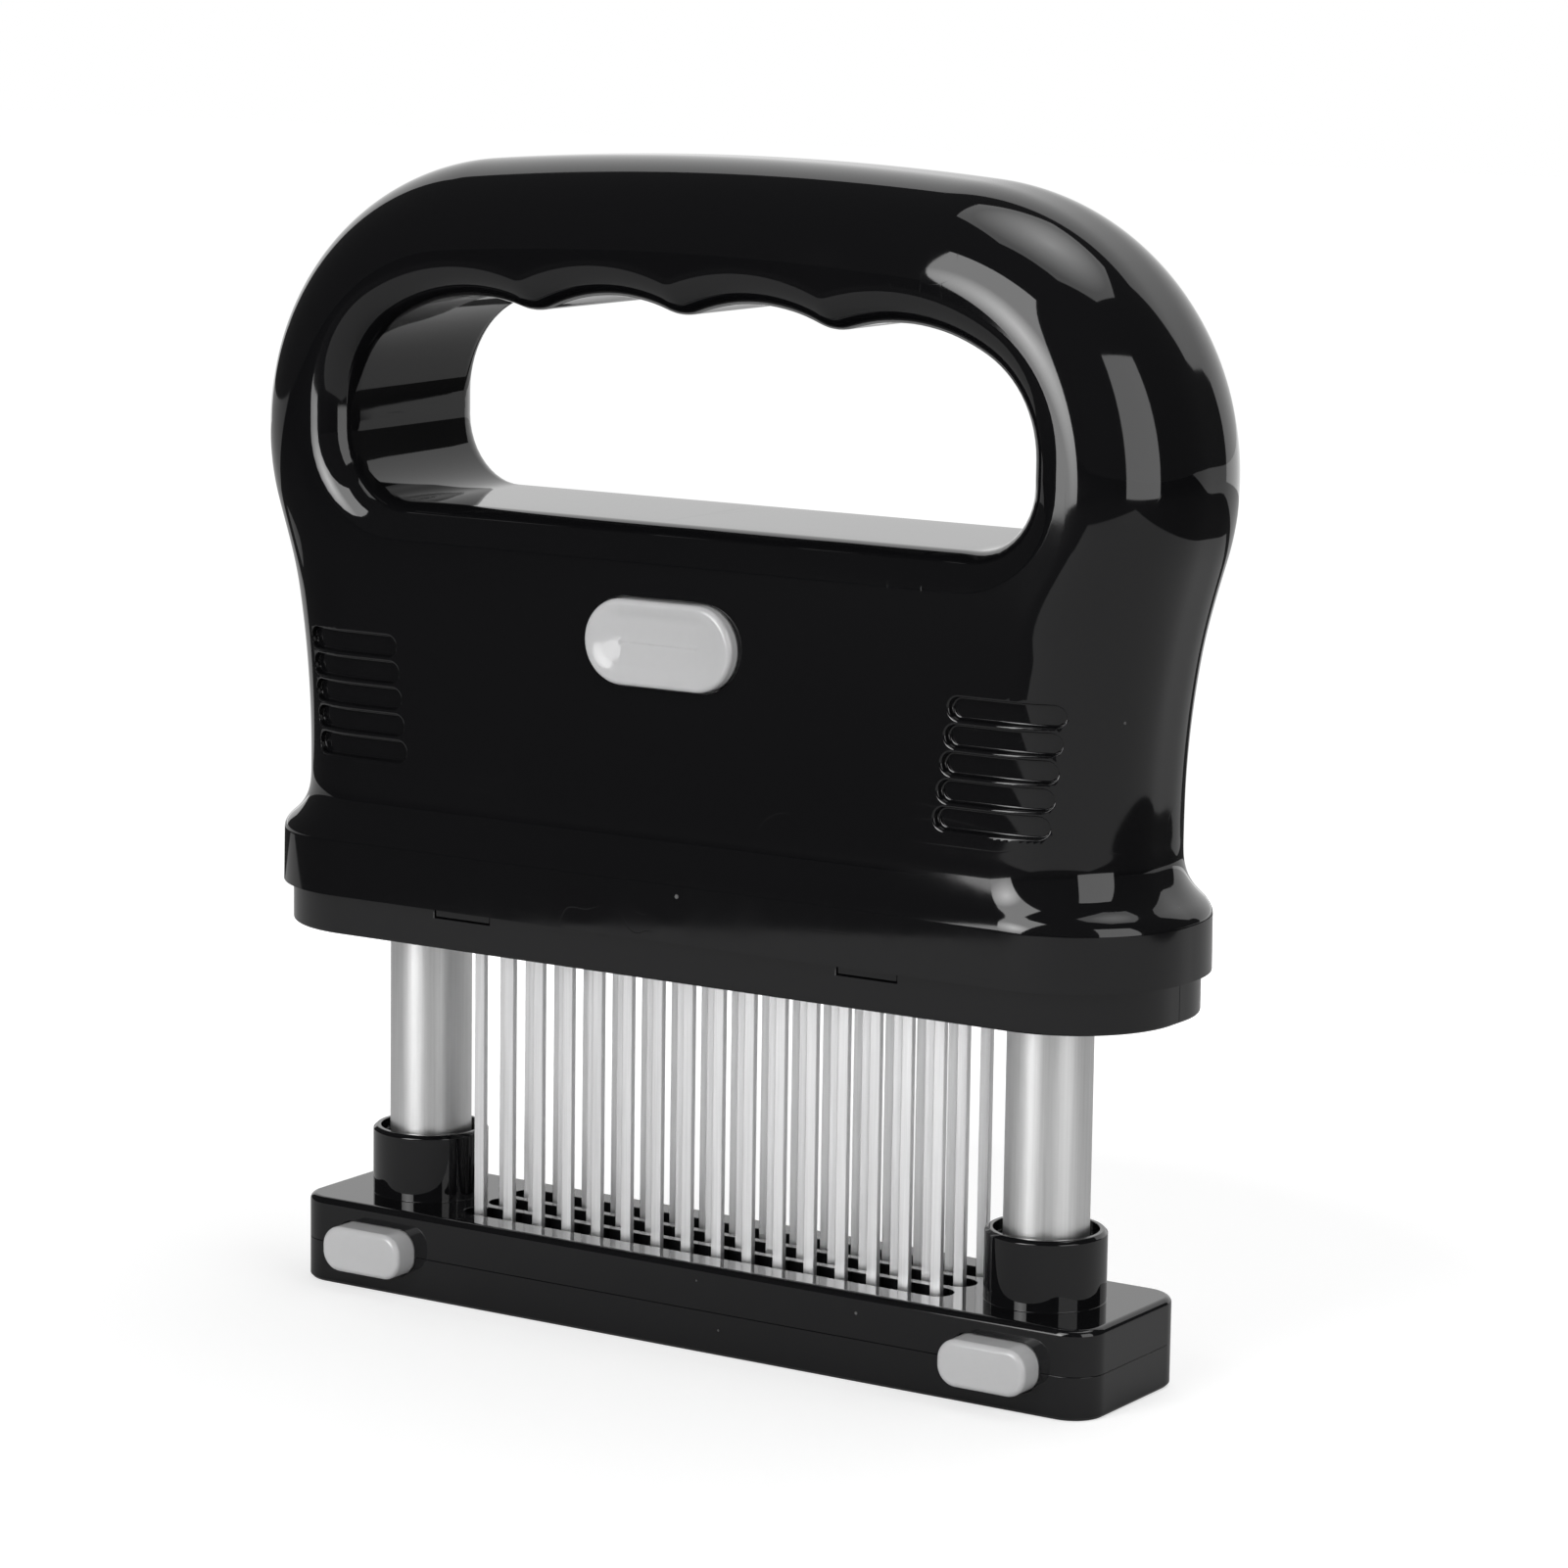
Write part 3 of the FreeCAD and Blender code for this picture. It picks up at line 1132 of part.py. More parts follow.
def make_push_buttons():
    """Buttons in the foot's front wall, each with the keyhole plate that holds a post."""
    cap = body_of("push_cap")
    face = "base_depth / 2 + push_proud"
    outline = Outline(cap, "push_face", "XZ_Plane", face)
    outline.rounded("push_length", "push_height", "push_round", POST_X, "push_level")
    pad(cap, outline, "push_proud + base_wall + clearance", back=True)
    dress(cap, "push_edge", lambda bounds: flat_at(bounds, "Y", f"-({face})"), kind="Chamfer")
    flange = Outline(cap, "push_flange_outline", "XZ_Plane", "base_depth / 2 - base_wall - clearance")
    flange.rounded("push_length + 2 * push_lip", "push_height + 2 * push_lip",
                   "push_round + push_lip", POST_X, "push_level")
    pad(cap, flange, "push_flange", back=True)
    end = "(neck_radius + clearance + plate_tail)"
    plate = box("keyhole_plate", (f"{POST_X} - plate_width / 2", f"-{PUSH_BACK}", PLATE_LOW),
                (f"{POST_X} + plate_width / 2", end, PLATE_HIGH))
    arm_end = "(arm_depth / 2 + play)"
    arm = box("spring_arm", (POST_X, f"{arm_end} - arm_depth", PLATE_LOW),
              (f"{POST_X} + plate_width / 2 + arm_reach", arm_end, PLATE_HIGH))
    narrow = "neck_radius + clearance"
    keyhole = fuse("keyhole",
                   cylinder("keyhole_wide", "post_radius + play", PLATE_LOW, PLATE_HIGH,
                            POST_X, "-push_travel"),
                   cylinder("keyhole_narrow", narrow, PLATE_LOW, PLATE_HIGH, POST_X, "0"),
                   box("keyhole_throat", (f"{POST_X} - {narrow}", "-push_travel", PLATE_LOW),
                       (f"{POST_X} + {narrow}", "0", PLATE_HIGH)))
    right = cut("base_button_right", fuse("push_blank", cap, plate, arm), keyhole)
    finish(right, "base_button_right")
    finish(mirrored("base_button_left", right, "x"), "base_button_left")
    for side, sign in SIDES.items():
        spring = coil("base_spring_" + side, "side_spring_radius", "side_spring_wire",
                      "side_spring_turns", arm_end, "base_depth / 2 - base_wall")
        place(spring, x=f"{sign} * {SIDE_SPRING_X}", y=f"{arm_end} + side_spring_wire / 2",
              z="push_level", axis="y")
        finish(spring, "base_spring_" + side)


# ---------------------------------------------------------------- build, check and write
for make in (make_housing, make_release, make_skirt, make_blades, make_carrier, make_clamp, make_bushes,
             make_posts, make_base_top, make_base_bottom, make_push_buttons):
    make()
doc.recompute()

failed = [item.Name for item in doc.Objects if {"Invalid", "Error"} & set(item.State)]
broken = [item.Label for item in sub_parts if item.Shape.isNull() or not item.Shape.isValid()]
if failed or broken:
    raise RuntimeError(f"failed: {failed}; broken: {broken}")
os.makedirs("parts", exist_ok=True)
for item in sub_parts:
    item.Shape.exportStep(f"parts/{item.Label}.step")
    print(item.Label, len(item.Shape.Solids), round(item.Shape.Volume, 1))
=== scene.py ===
"""Blade meat tenderizer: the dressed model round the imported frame. Lengths in this script are millimetres."""
import json
import math

import bmesh
import bpy
from mathutils import Matrix, Vector


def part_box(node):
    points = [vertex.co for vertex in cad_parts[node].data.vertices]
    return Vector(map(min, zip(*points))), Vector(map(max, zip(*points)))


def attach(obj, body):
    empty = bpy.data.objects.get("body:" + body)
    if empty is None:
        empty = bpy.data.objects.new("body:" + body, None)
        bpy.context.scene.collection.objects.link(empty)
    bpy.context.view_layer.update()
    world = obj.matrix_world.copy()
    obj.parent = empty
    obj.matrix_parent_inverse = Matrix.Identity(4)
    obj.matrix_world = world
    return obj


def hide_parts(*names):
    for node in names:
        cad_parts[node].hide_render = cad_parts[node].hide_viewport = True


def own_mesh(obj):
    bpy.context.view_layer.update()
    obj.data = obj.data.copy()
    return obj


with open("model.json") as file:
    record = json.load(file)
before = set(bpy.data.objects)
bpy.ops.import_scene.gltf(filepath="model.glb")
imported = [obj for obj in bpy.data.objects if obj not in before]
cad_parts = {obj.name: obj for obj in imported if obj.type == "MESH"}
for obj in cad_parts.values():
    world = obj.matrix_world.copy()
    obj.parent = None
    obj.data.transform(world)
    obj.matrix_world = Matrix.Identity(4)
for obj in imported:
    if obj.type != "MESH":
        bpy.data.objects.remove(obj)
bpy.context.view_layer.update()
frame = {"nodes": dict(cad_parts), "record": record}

MM = 0.001

# handle housing, seen from the front
TOP = 170.0
CROWN_RADIUS = 493.0
CORNER_RADIUS = 40.0
HANDLE_HALF = 76.85
WAIST_HALF = 70.0
WAIST_LEVEL = 80.5
BODY_HALF_DEPTH = 18.3
SHELL_WALL = 2.2
EDGE_ROUND = 16.0
LOOP_ROUND = 12.8
LOOP_LEVEL = 118.0
PANEL_LEVEL = 104.0
# flare and flange under the waist
FLARE_TOP = 78.9
FLARE_STEPS = 30
FLARE_TURN = (0.78, 0.676)
FLARE_POWER = 3.4
FLANGE_TOP = 68.4
FLANGE_DRAFT = 0.16
FLANGE_BOTTOM = 60.65
FLANGE_HALF = 75.1
FLANGE_HALF_DEPTH = 20.15
FLANGE_CORNER = 18.8
# finger opening
OPENING_HALF = 57.1
OPENING_FLOOR = 119.05
OPENING_CORNER = 9.7
OPENING_SHOULDER = 15.0
OPENING_ROUND = 5.5
GRIP = 19.35
GROOVE_PITCH = 25.1
GROOVE_RADIUS = 28.5
RIDGE_RADIUS = 6.5
# details of the housing
SEAM_GROOVE = 0.15
RECESS_LENGTH = 17.0
RECESS_WIDTH = 3.1
RECESS_LEVEL = 98.1
RECESS_PITCH = 3.83
RECESS_REACH = 55.1
RECESS_STEP = 0.49
RECESS_DEPTH = 1.2
RECESS_BED = 0.3
RECESS_LIP = 0.32
RECESSES = 5
RECESS_CUTS = 14
BUTTON_LEVEL = 102.6
BUTTON_LENGTH = 24.8
BUTTON_HEIGHT = 12.3
BUTTON_GAP = 0.3
BUTTON_FACE = 20.1
SCREW_PLACES = [(38.0, 158.9), (32.5, 110.5), (32.5, 84.0)]
SCREW_WELL = 2.95
SCREW_PLANS = [(hand * x, z) for x, z in SCREW_PLACES for hand in (-1, 1)]
SCREW_FLOOR = 10.5
BOSS = 4.6
BOSS_LAP = 0.4
SHANK_HOLE = 1.4
CUT_END = 22.0
CUT_SPACING = 0.4
RECESS_SPACING = 0.25


# ---- mesh helpers

def new_mesh():
    """An empty bmesh whose vertices can keep an outward direction and the width of the round edge there."""
    bm = bmesh.new()
    bm.verts.layers.float_vector.new("way")
    bm.verts.layers.float.new("reach")
    return bm


def show(name, data):
    """Puts a mesh, lamp or camera into the scene as an object."""
    made = bpy.data.objects.new(name, data)
    bpy.context.collection.objects.link(made)
    return made


def finish_mesh(bm, name, sharp=35.0):
    """Turns a bmesh in millimetres into an object in metres, smooth apart from edges sharper than sharp."""
    bmesh.ops.scale(bm, vec=(MM, MM, MM), verts=bm.verts)
    mesh = bpy.data.meshes.new(name)
    bm.to_mesh(mesh)
    bm.free()
    for layer in ("way", "reach"):
        if layer in mesh.attributes:
            mesh.attributes.remove(mesh.attributes[layer])
    mesh.shade_smooth()
    mesh.set_sharp_from_angle(angle=math.radians(sharp))
    return show(name, mesh)


def fix_modifiers(piece):
    """Makes the piece's modifiers part of its mesh."""
    bpy.context.view_layer.update()
    shown = piece.evaluated_get(bpy.context.evaluated_depsgraph_get())
    mesh = bpy.data.meshes.new_from_object(shown)
    piece.modifiers.clear()
    piece.data = mesh


def soften(piece, width, angle=40.0):
    """Breaks the sharp edges of a piece by a small round, and keeps its flat faces flat in the gloss."""
    bevel = piece.modifiers.new("broken edges", "BEVEL")
    bevel.width = width * MM
    bevel.segments = 2
    bevel.limit_method = "ANGLE"
    bevel.angle_limit = math.radians(angle)
    bevel.harden_normals = True
    bevel.use_clamp_overlap = True
    weigh(piece)


def weigh(piece):
    """Lets large faces lead the shading of the round edges beside them."""
    weighted = piece.modifiers.new("even gloss", "WEIGHTED_NORMAL")
    weighted.keep_sharp = True


def dress(piece, body, slot, *nodes):
    """Gives a piece its body, slot and finish, and the nodes that it stands for."""
    piece.data.materials.clear()
    piece.data.materials.append(FINISHES[slot])
    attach(piece, body)
    if nodes:
        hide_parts(*nodes)
    return piece


def recopy(node):
    """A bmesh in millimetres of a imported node, with its loose triangles merged into whole faces."""
    bm = new_mesh()
    bm.from_mesh(frame["nodes"][node].data)
    bmesh.ops.remove_doubles(bm, verts=bm.verts, dist=0.002 * MM)
    bmesh.ops.dissolve_limit(bm, angle_limit=math.radians(0.2), verts=bm.verts, edges=bm.edges)
    bmesh.ops.scale(bm, vec=(1 / MM, 1 / MM, 1 / MM), verts=bm.verts)
    return bm


def stand(bm, axis, x, other):
    """Puts a shape that is made about Z at x, y = other, or lays it along Y at x, z = other."""
    if axis == "Y":
        bmesh.ops.rotate(bm, cent=(0, 0, 0), matrix=Matrix.Rotation(-math.pi / 2, 3, "X"), verts=bm.verts)
        bmesh.ops.translate(bm, vec=(x, 0, other), verts=bm.verts)
    else:
        bmesh.ops.translate(bm, vec=(x, other, 0), verts=bm.verts)


def start_line(bm, x, z, way):
    """The first vertex of an outline in the XZ plane."""
    tip = bm.verts.new((x, 0, z))
    tip[bm.verts.layers.float_vector["way"]] = way
    return tip


def arc_on(bm, tip, centre, turn, spacing, outward=1):
    """Carries an outline on along an arc about centre = (x, z), turn in radians from +Z towards +X."""
    pivot = Vector((centre[0], 0, centre[1]))
    length = abs(turn) * (tip.co - pivot).length
    steps = max(2, math.ceil(length / spacing))
    count = len(bm.verts)
    spun = bmesh.ops.spin(bm, geom=[tip], cent=pivot, axis=(0, 1, 0), angle=turn, steps=steps)
    bm.verts.ensure_lookup_table()
    way = bm.verts.layers.float_vector["way"]
    for vert in bm.verts[count:]:
        vert[way] = (vert.co - pivot).normalized() * outward
    return spun["geom_last"][0]


def line_on(bm, tip, x, z, spacing):
    """Carries an outline on from tip in a straight line to x, z."""
    span = Vector((x, 0, z)) - tip.co
    steps = max(1, math.ceil(span.length / spacing))
    for _ in range(steps):
        grown = bmesh.ops.extrude_vert_indiv(bm, verts=[tip])
        tip = grown["verts"][0]
        tip.co += span / steps
    return tip


def compass(start, end):
    """The angle of the way from start to end, both (x, z), from +Z towards +X."""
    return math.atan2(end[0] - start[0], end[1] - start[1])


def next_row(bm, edges, move):
    """Extrudes a chain of edges into one more row, moves the row's vertices and gives its edges."""
    grown = bmesh.ops.extrude_edge_only(bm, edges=edges)["geom"]
    fresh = {g for g in grown if isinstance(g, bmesh.types.BMVert)}
    for vert in fresh:
        move(vert)
    return [g for g in grown if isinstance(g, bmesh.types.BMEdge) and set(g.verts) <= fresh]


def roll_edge(bm, edges, start, depth, steps, side):
    """Rounds an outline over towards its front: as deep as depth, as far in as each vertex's reach."""
    way = bm.verts.layers.float_vector["way"]
    reach = bm.verts.layers.float["reach"]
    for step in range(1, steps + 1):
        here = math.pi / 2 * step / steps
        before = math.pi / 2 * (step - 1) / steps
        inward = math.cos(before) - math.cos(here)
        level = side * (start + depth * math.sin(here))

        def move(vert):
            vert.co -= vert[way] * vert[reach] * inward
            vert.co.y = level

        edges = next_row(bm, edges, move)
    return edges


def chain_ends(edges):
    """The two end vertices of an open chain of edges, the one with the smaller x first."""
    seen = {}
    for edge in edges:
        for vert in edge.verts:
            seen[vert] = seen.get(vert, 0) + 1
    return sorted((v for v in seen if seen[v] == 1), key=lambda v: (v.co.x, v.co.z))


# ---- handle housing

SPACING = 1.3
ROLL_STEPS = 26
OPENING_STEPS = 14
WALL_STEPS = 3
SECTION_GAPS = (30.0, 12.0, 5.0, 2.0, 0.8, 0.3)


def edge_width(z):
    """How far the round edge of the housing reaches inwards: narrow round the grip, wide on the panel."""
    share = min(1.0, max(0.0, (z - PANEL_LEVEL) / (LOOP_LEVEL - PANEL_LEVEL)))
    return EDGE_ROUND + (LOOP_ROUND - EDGE_ROUND) * share * share * (3 - 2 * share)


def side_arcs():
    """The centres, as (x, z), of the crown, the corner and the hollow side of the housing."""
    crown = (0.0, TOP - CROWN_RADIUS)
    corner_x = HANDLE_HALF - CORNER_RADIUS
    corner = (corner_x, crown[1] + math.sqrt((CROWN_RADIUS - CORNER_RADIUS) ** 2 - corner_x ** 2))
    run = WAIST_HALF - corner_x
    rise = corner[1] - WAIST_LEVEL
    waist_radius = (run ** 2 + rise ** 2 - CORNER_RADIUS ** 2) / (2 * (CORNER_RADIUS - run))
    return crown, corner, (WAIST_HALF + waist_radius, WAIST_LEVEL)


def housing_outline(bm):
    """Right half of the outline, from the middle of the crown down to the flare; gives its edges."""
    crown, corner, waist = side_arcs()
    lean = compass(crown, corner)
    meet = compass(corner, waist)
    tip = start_line(bm, 0, TOP, (0, 0, 1))
    tip = arc_on(bm, tip, crown, lean, SPACING)
    tip = arc_on(bm, tip, corner, meet - lean, SPACING)
    tip = arc_on(bm, tip, waist, math.pi / 2 - meet, SPACING, outward=-1)
    line_on(bm, tip, WAIST_HALF, FLARE_TOP, SPACING)
    reach = bm.verts.layers.float["reach"]
    for vert in bm.verts:
        vert[reach] = edge_width(vert.co.z)
    return bm.edges[:]


def opening_outline(bm):
    """Right half of the finger opening, from its middle ridge round to its floor; gives its edges."""
    drawn = set(bm.edges)
    crown = (0.0, TOP - CROWN_RADIUS)
    groove_ring = CROWN_RADIUS - GRIP - GROOVE_RADIUS
    step = GROOVE_PITCH / (CROWN_RADIUS - GRIP)
    touch = GROOVE_RADIUS + RIDGE_RADIUS
    half_chord = groove_ring * math.sin(step / 2)
    ridge_ring = groove_ring * math.cos(step / 2) + math.sqrt(touch ** 2 - half_chord ** 2)

    def on_ring(radius, angle):
        return (radius * math.sin(angle), crown[1] + radius * math.cos(angle))

    ridges = [on_ring(ridge_ring, 0), on_ring(ridge_ring, step)]
    grooves = [on_ring(groove_ring, step / 2), on_ring(groove_ring, 1.5 * step)]
    shoulder_x = OPENING_HALF - OPENING_SHOULDER
    sink = GROOVE_RADIUS - OPENING_SHOULDER
    rise = math.sqrt(sink ** 2 - (shoulder_x - grooves[1][0]) ** 2)
    shoulder = (shoulder_x, grooves[1][1] + rise)
    corner = (OPENING_HALF - OPENING_CORNER, OPENING_FLOOR + OPENING_CORNER)
    tip = start_line(bm, 0, ridges[0][1] - RIDGE_RADIUS, (0, 0, -1))
    tip = arc_on(bm, tip, ridges[0], compass(ridges[0], grooves[0]) - math.pi, SPACING / 2)
    tip = arc_on(bm, tip, grooves[0], compass(grooves[0], ridges[1]) - compass(grooves[0], ridges[0]),
                 SPACING, outward=-1)
    turn = compass(ridges[1], grooves[1]) - compass(ridges[1], grooves[0]) - 2 * math.pi
    tip = arc_on(bm, tip, ridges[1], turn, SPACING / 2)
    lean = compass(grooves[1], shoulder)
    tip = arc_on(bm, tip, grooves[1], lean - compass(grooves[1], ridges[1]), SPACING, outward=-1)
    tip = arc_on(bm, tip, shoulder, math.pi / 2 - lean, SPACING, outward=-1)
    tip = line_on(bm, tip, OPENING_HALF, corner[1], SPACING)
    tip = arc_on(bm, tip, corner, math.pi / 2, SPACING, outward=-1)
    line_on(bm, tip, 0, OPENING_FLOOR, SPACING)
    reach = bm.verts.layers.float["reach"]
    edges = [e for e in bm.edges if e not in drawn]
    for edge in edges:
        for vert in edge.verts:
            vert[reach] = OPENING_ROUND
    return edges


def straight_wall(bm, edges, depth, steps, side):
    """Carries an outline straight towards its front as the side wall of the housing."""
    for step in range(1, steps + 1):
        level = side * depth * step / steps

        def move(vert):
            vert.co.y = level

        edges = next_row(bm, edges, move)
    return edges


def flare_spread(share):
    """How far the flare has spread, from 0 at its top to 1 at the flange: it sweeps out and turns upright."""
    turn_share, turn_spread = FLARE_TURN
    if share < turn_share:
        return turn_spread * (share / turn_share) ** FLARE_POWER
    return 1 - (1 - turn_spread) * ((1 - share) / (1 - turn_share)) ** 2


def section_place(start, spread, depth):
    """Where a point of the waist's section lies once the section has spread towards the rounder flange."""
    flat, deep = WAIST_HALF - EDGE_ROUND, BODY_HALF_DEPTH - EDGE_ROUND
    corner = EDGE_ROUND + (FLANGE_CORNER - EDGE_ROUND) * spread
    half = WAIST_HALF + (FLANGE_HALF - WAIST_HALF) * spread
    across, inwards = start.x / flat, abs(start.y) / deep
    turn_x = max(0.0, start.x - flat) / EDGE_ROUND
    turn_y = max(0.0, abs(start.y) - deep) / EDGE_ROUND
    place_x = (half - corner) * min(1.0, across) + corner * turn_x
    place_y = (depth - corner) * min(1.0, inwards) + corner * turn_y
    return place_x, math.copysign(place_y, start.y)


def flare(bm, edges, side):
    """Carries the section at the waist down over the flare and the flange, which has a slight draft."""
    start = bm.verts.layers.float_vector["way"]
    for vert in {v for edge in edges for v in edge.verts}:
        vert[start] = (vert.co.x, side * abs(vert.co.y), vert.co.z)
    rows = []
    for step in range(1, FLARE_STEPS + 1):
        spread = flare_spread(step / FLARE_STEPS)
        depth = BODY_HALF_DEPTH + (FLANGE_HALF_DEPTH - FLANGE_DRAFT - BODY_HALF_DEPTH) * spread
        rows.append((spread, depth, FLARE_TOP - (FLARE_TOP - FLANGE_TOP) * step / FLARE_STEPS))
    rows += [(1.0, FLANGE_HALF_DEPTH - FLANGE_DRAFT / 2, (FLANGE_TOP + FLANGE_BOTTOM) / 2),
             (1.0, FLANGE_HALF_DEPTH, FLANGE_BOTTOM)]
    for spread, depth, level in rows:
        def move(vert):
            place_x, place_y = section_place(vert[start], spread, depth)
            vert.co = (place_x, place_y, level)

        edges = next_row(bm, edges, move)


def housing_skin(side):
    """The outer skin of one half of the housing: side -1 is the front and 1 the rear."""
    bm = new_mesh()
    outer = housing_outline(bm)
    opening = opening_outline(bm)
    outer = straight_wall(bm, outer, BODY_HALF_DEPTH - EDGE_ROUND, 2, side)
    outer = roll_edge(bm, outer, BODY_HALF_DEPTH - EDGE_ROUND, EDGE_ROUND, ROLL_STEPS, side)
    opening = straight_wall(bm, opening, BODY_HALF_DEPTH - OPENING_ROUND, WALL_STEPS, side)
    opening = roll_edge(bm, opening, BODY_HALF_DEPTH - OPENING_ROUND, OPENING_ROUND, OPENING_STEPS, side)
    crown_end, waist_end = chain_ends(outer)
    floor_end, ridge_end = chain_ends(opening)
    middle = bm.verts.new((0, side * BODY_HALF_DEPTH, FLARE_TOP))
    chain = [middle]
    for gap in SECTION_GAPS:
        chain.append(bm.verts.new((waist_end.co.x - gap, side * BODY_HALF_DEPTH, FLARE_TOP)))
    chain.append(waist_end)
    joins = [(crown_end, ridge_end), (floor_end, middle)] + list(zip(chain, chain[1:]))
    seams = [bm.edges.new(pair) for pair in joins]
    bmesh.ops.edgeloop_fill(bm, edges=outer + opening + seams)
    section = [e for e in bm.edges if all(abs(v.co.z - FLARE_TOP) < 1e-4 for v in e.verts)]
    flare(bm, section, side)
    bmesh.ops.mirror(bm, geom=bm.verts[:] + bm.edges[:] + bm.faces[:], axis="X", merge_dist=1e-3)
    bmesh.ops.recalc_face_normals(bm, faces=bm.faces)
    panel = max(bm.faces, key=lambda face: face.calc_area())
    if panel.normal.y * side < 0:
        bmesh.ops.reverse_faces(bm, faces=bm.faces)
    return bm


def obround(bm, x, z, length, height, spacing):
    """A closed outline with round ends in the XZ plane, about x, z; gives its edges."""
    drawn = set(bm.edges)
    radius = height / 2
    reach = length / 2 - radius
    tip = start_line(bm, x, z + radius, (0, 0, 1))
    tip = line_on(bm, tip, x + reach, z + radius, length)
    tip = arc_on(bm, tip, (x + reach, z), math.pi, spacing)
    tip = line_on(bm, tip, x - reach, z - radius, length)
    tip = arc_on(bm, tip, (x - reach, z), math.pi, spacing)
    line_on(bm, tip, x, z + radius, length)
    bmesh.ops.remove_doubles(bm, verts=bm.verts, dist=1e-4)
    return [e for e in bm.edges if e not in drawn]


def block_along(bm, edges, start, end):
    """Makes a closed block of a flat outline in the XZ plane: it runs along Y from start to end."""
    bmesh.ops.translate(bm, vec=(0, start, 0), verts=bm.verts)
    face = bmesh.ops.edgeloop_fill(bm, edges=edges)["faces"]
    block = bmesh.ops.extrude_face_region(bm, geom=face)["geom"]
    moved = [g for g in block if isinstance(g, bmesh.types.BMVert)]
    bmesh.ops.translate(bm, vec=(0, end - start, 0), verts=moved)
    bmesh.ops.recalc_face_normals(bm, faces=bm.faces)


def front_depth(x, z):
    """How far the front of the housing stands out at x, z, within the panel."""
    side_x = WAIST_HALF
    if z > WAIST_LEVEL:
        waist_x = side_arcs()[2][0]
        side_x = waist_x - math.sqrt((waist_x - WAIST_HALF) ** 2 - (z - WAIST_LEVEL) ** 2)
    inset = min(EDGE_ROUND, side_x - abs(x))
    round_share = 1 - inset / EDGE_ROUND
    return BODY_HALF_DEPTH - EDGE_ROUND + EDGE_ROUND * math.sqrt(1 - round_share ** 2)


def recess_profile():
    """Rows of a recess from bed to lip: how far each goes outwards from the last, and how high it is."""
    turns = [math.pi / 8 * step for step in range(5)]
    foot = RECESS_DEPTH - RECESS_LIP
    rows = [(RECESS_BED * (math.sin(now) - math.sin(before)), RECESS_BED * (1 - math.cos(now)))
            for before, now in zip(turns, turns[1:])]
    rows.append((0.0, foot))
    rows += [(RECESS_LIP * (math.cos(before) - math.cos(now)), foot + RECESS_LIP * math.sin(now))
             for before, now in zip(turns, turns[1:])]
    return rows


def recess_tool(side):
    """One tool for the ten moulded recesses: obround blocks whose floor follows the housing's round side."""
    tool = new_mesh()
    for hand in (-1, 1):
        for row in range(RECESSES):
            x = hand * (RECESS_REACH - RECESS_STEP * row)
            z = RECESS_LEVEL - RECESS_PITCH * row
            block = new_mesh()
            edges = obround(block, x, z, RECESS_LENGTH, RECESS_WIDTH, RECESS_SPACING)
            bmesh.ops.edgeloop_fill(block, edges=edges)
            for station in range(1, RECESS_CUTS):
                at = x - RECESS_LENGTH / 2 + RECESS_LENGTH * station / RECESS_CUTS
                bmesh.ops.bisect_plane(block, geom=block.verts[:] + block.edges[:] + block.faces[:],
                                       plane_co=(at, 0, 0), plane_no=(1, 0, 0))
            way = block.verts.layers.float_vector["way"]
            for vert in block.verts:
                vert[way] = vert[way].normalized()
                vert.co -= vert[way] * RECESS_BED
                vert.co.y = side * (front_depth(vert.co.x, vert.co.z) - RECESS_DEPTH)
            rim = [e for e in block.edges if e.is_boundary]
            for out, rise in recess_profile():
                def climb(vert):
                    vert.co += vert[way] * out
                    vert.co.y = side * (front_depth(vert.co.x, vert.co.z) - RECESS_DEPTH + rise)

                rim = next_row(block, rim, climb)
            rim = next_row(block, rim, lambda vert: setattr(vert.co, "y", side * CUT_END))
            bmesh.ops.edgeloop_fill(block, edges=rim)
            bmesh.ops.recalc_face_normals(block, faces=block.faces)
            join_into(tool, block)
    return tool


def join_into(bm, other):
    """Adds the mesh of another bmesh to bm and frees it."""
    mesh = bpy.data.meshes.new("joined")
    other.to_mesh(mesh)
    other.free()
    bm.from_mesh(mesh)
    bpy.data.meshes.remove(mesh)


def cut(piece, tool_mesh):
    """Cuts a tool's shape out of the piece."""
    tool = finish_mesh(tool_mesh, "tool")
    boolean = piece.modifiers.new("cut", "BOOLEAN")
    boolean.operation = "DIFFERENCE"
    boolean.solver = "EXACT"
    boolean.object = tool
    fix_modifiers(piece)
    bpy.data.objects.remove(tool)


def turned(profile, steps=48, x=0.0, y=0.0, axis="Z"):
    """A turned shape of (radius, height) pairs about Z at x, y, or about Y at x and the level y."""
    bm = new_mesh()
    verts = [bm.verts.new((radius, 0, height)) for radius, height in profile]
    edges = [bm.edges.new(pair) for pair in zip(verts, verts[1:])]
    bmesh.ops.spin(bm, geom=verts + edges, cent=(0, 0, 0), axis=(0, 0, 1), angle=2 * math.pi, steps=steps,
                   use_merge=True)
    bmesh.ops.remove_doubles(bm, verts=bm.verts, dist=1e-3)
    bmesh.ops.recalc_face_normals(bm, faces=bm.faces)
    stand(bm, axis, x, y)
    return bm


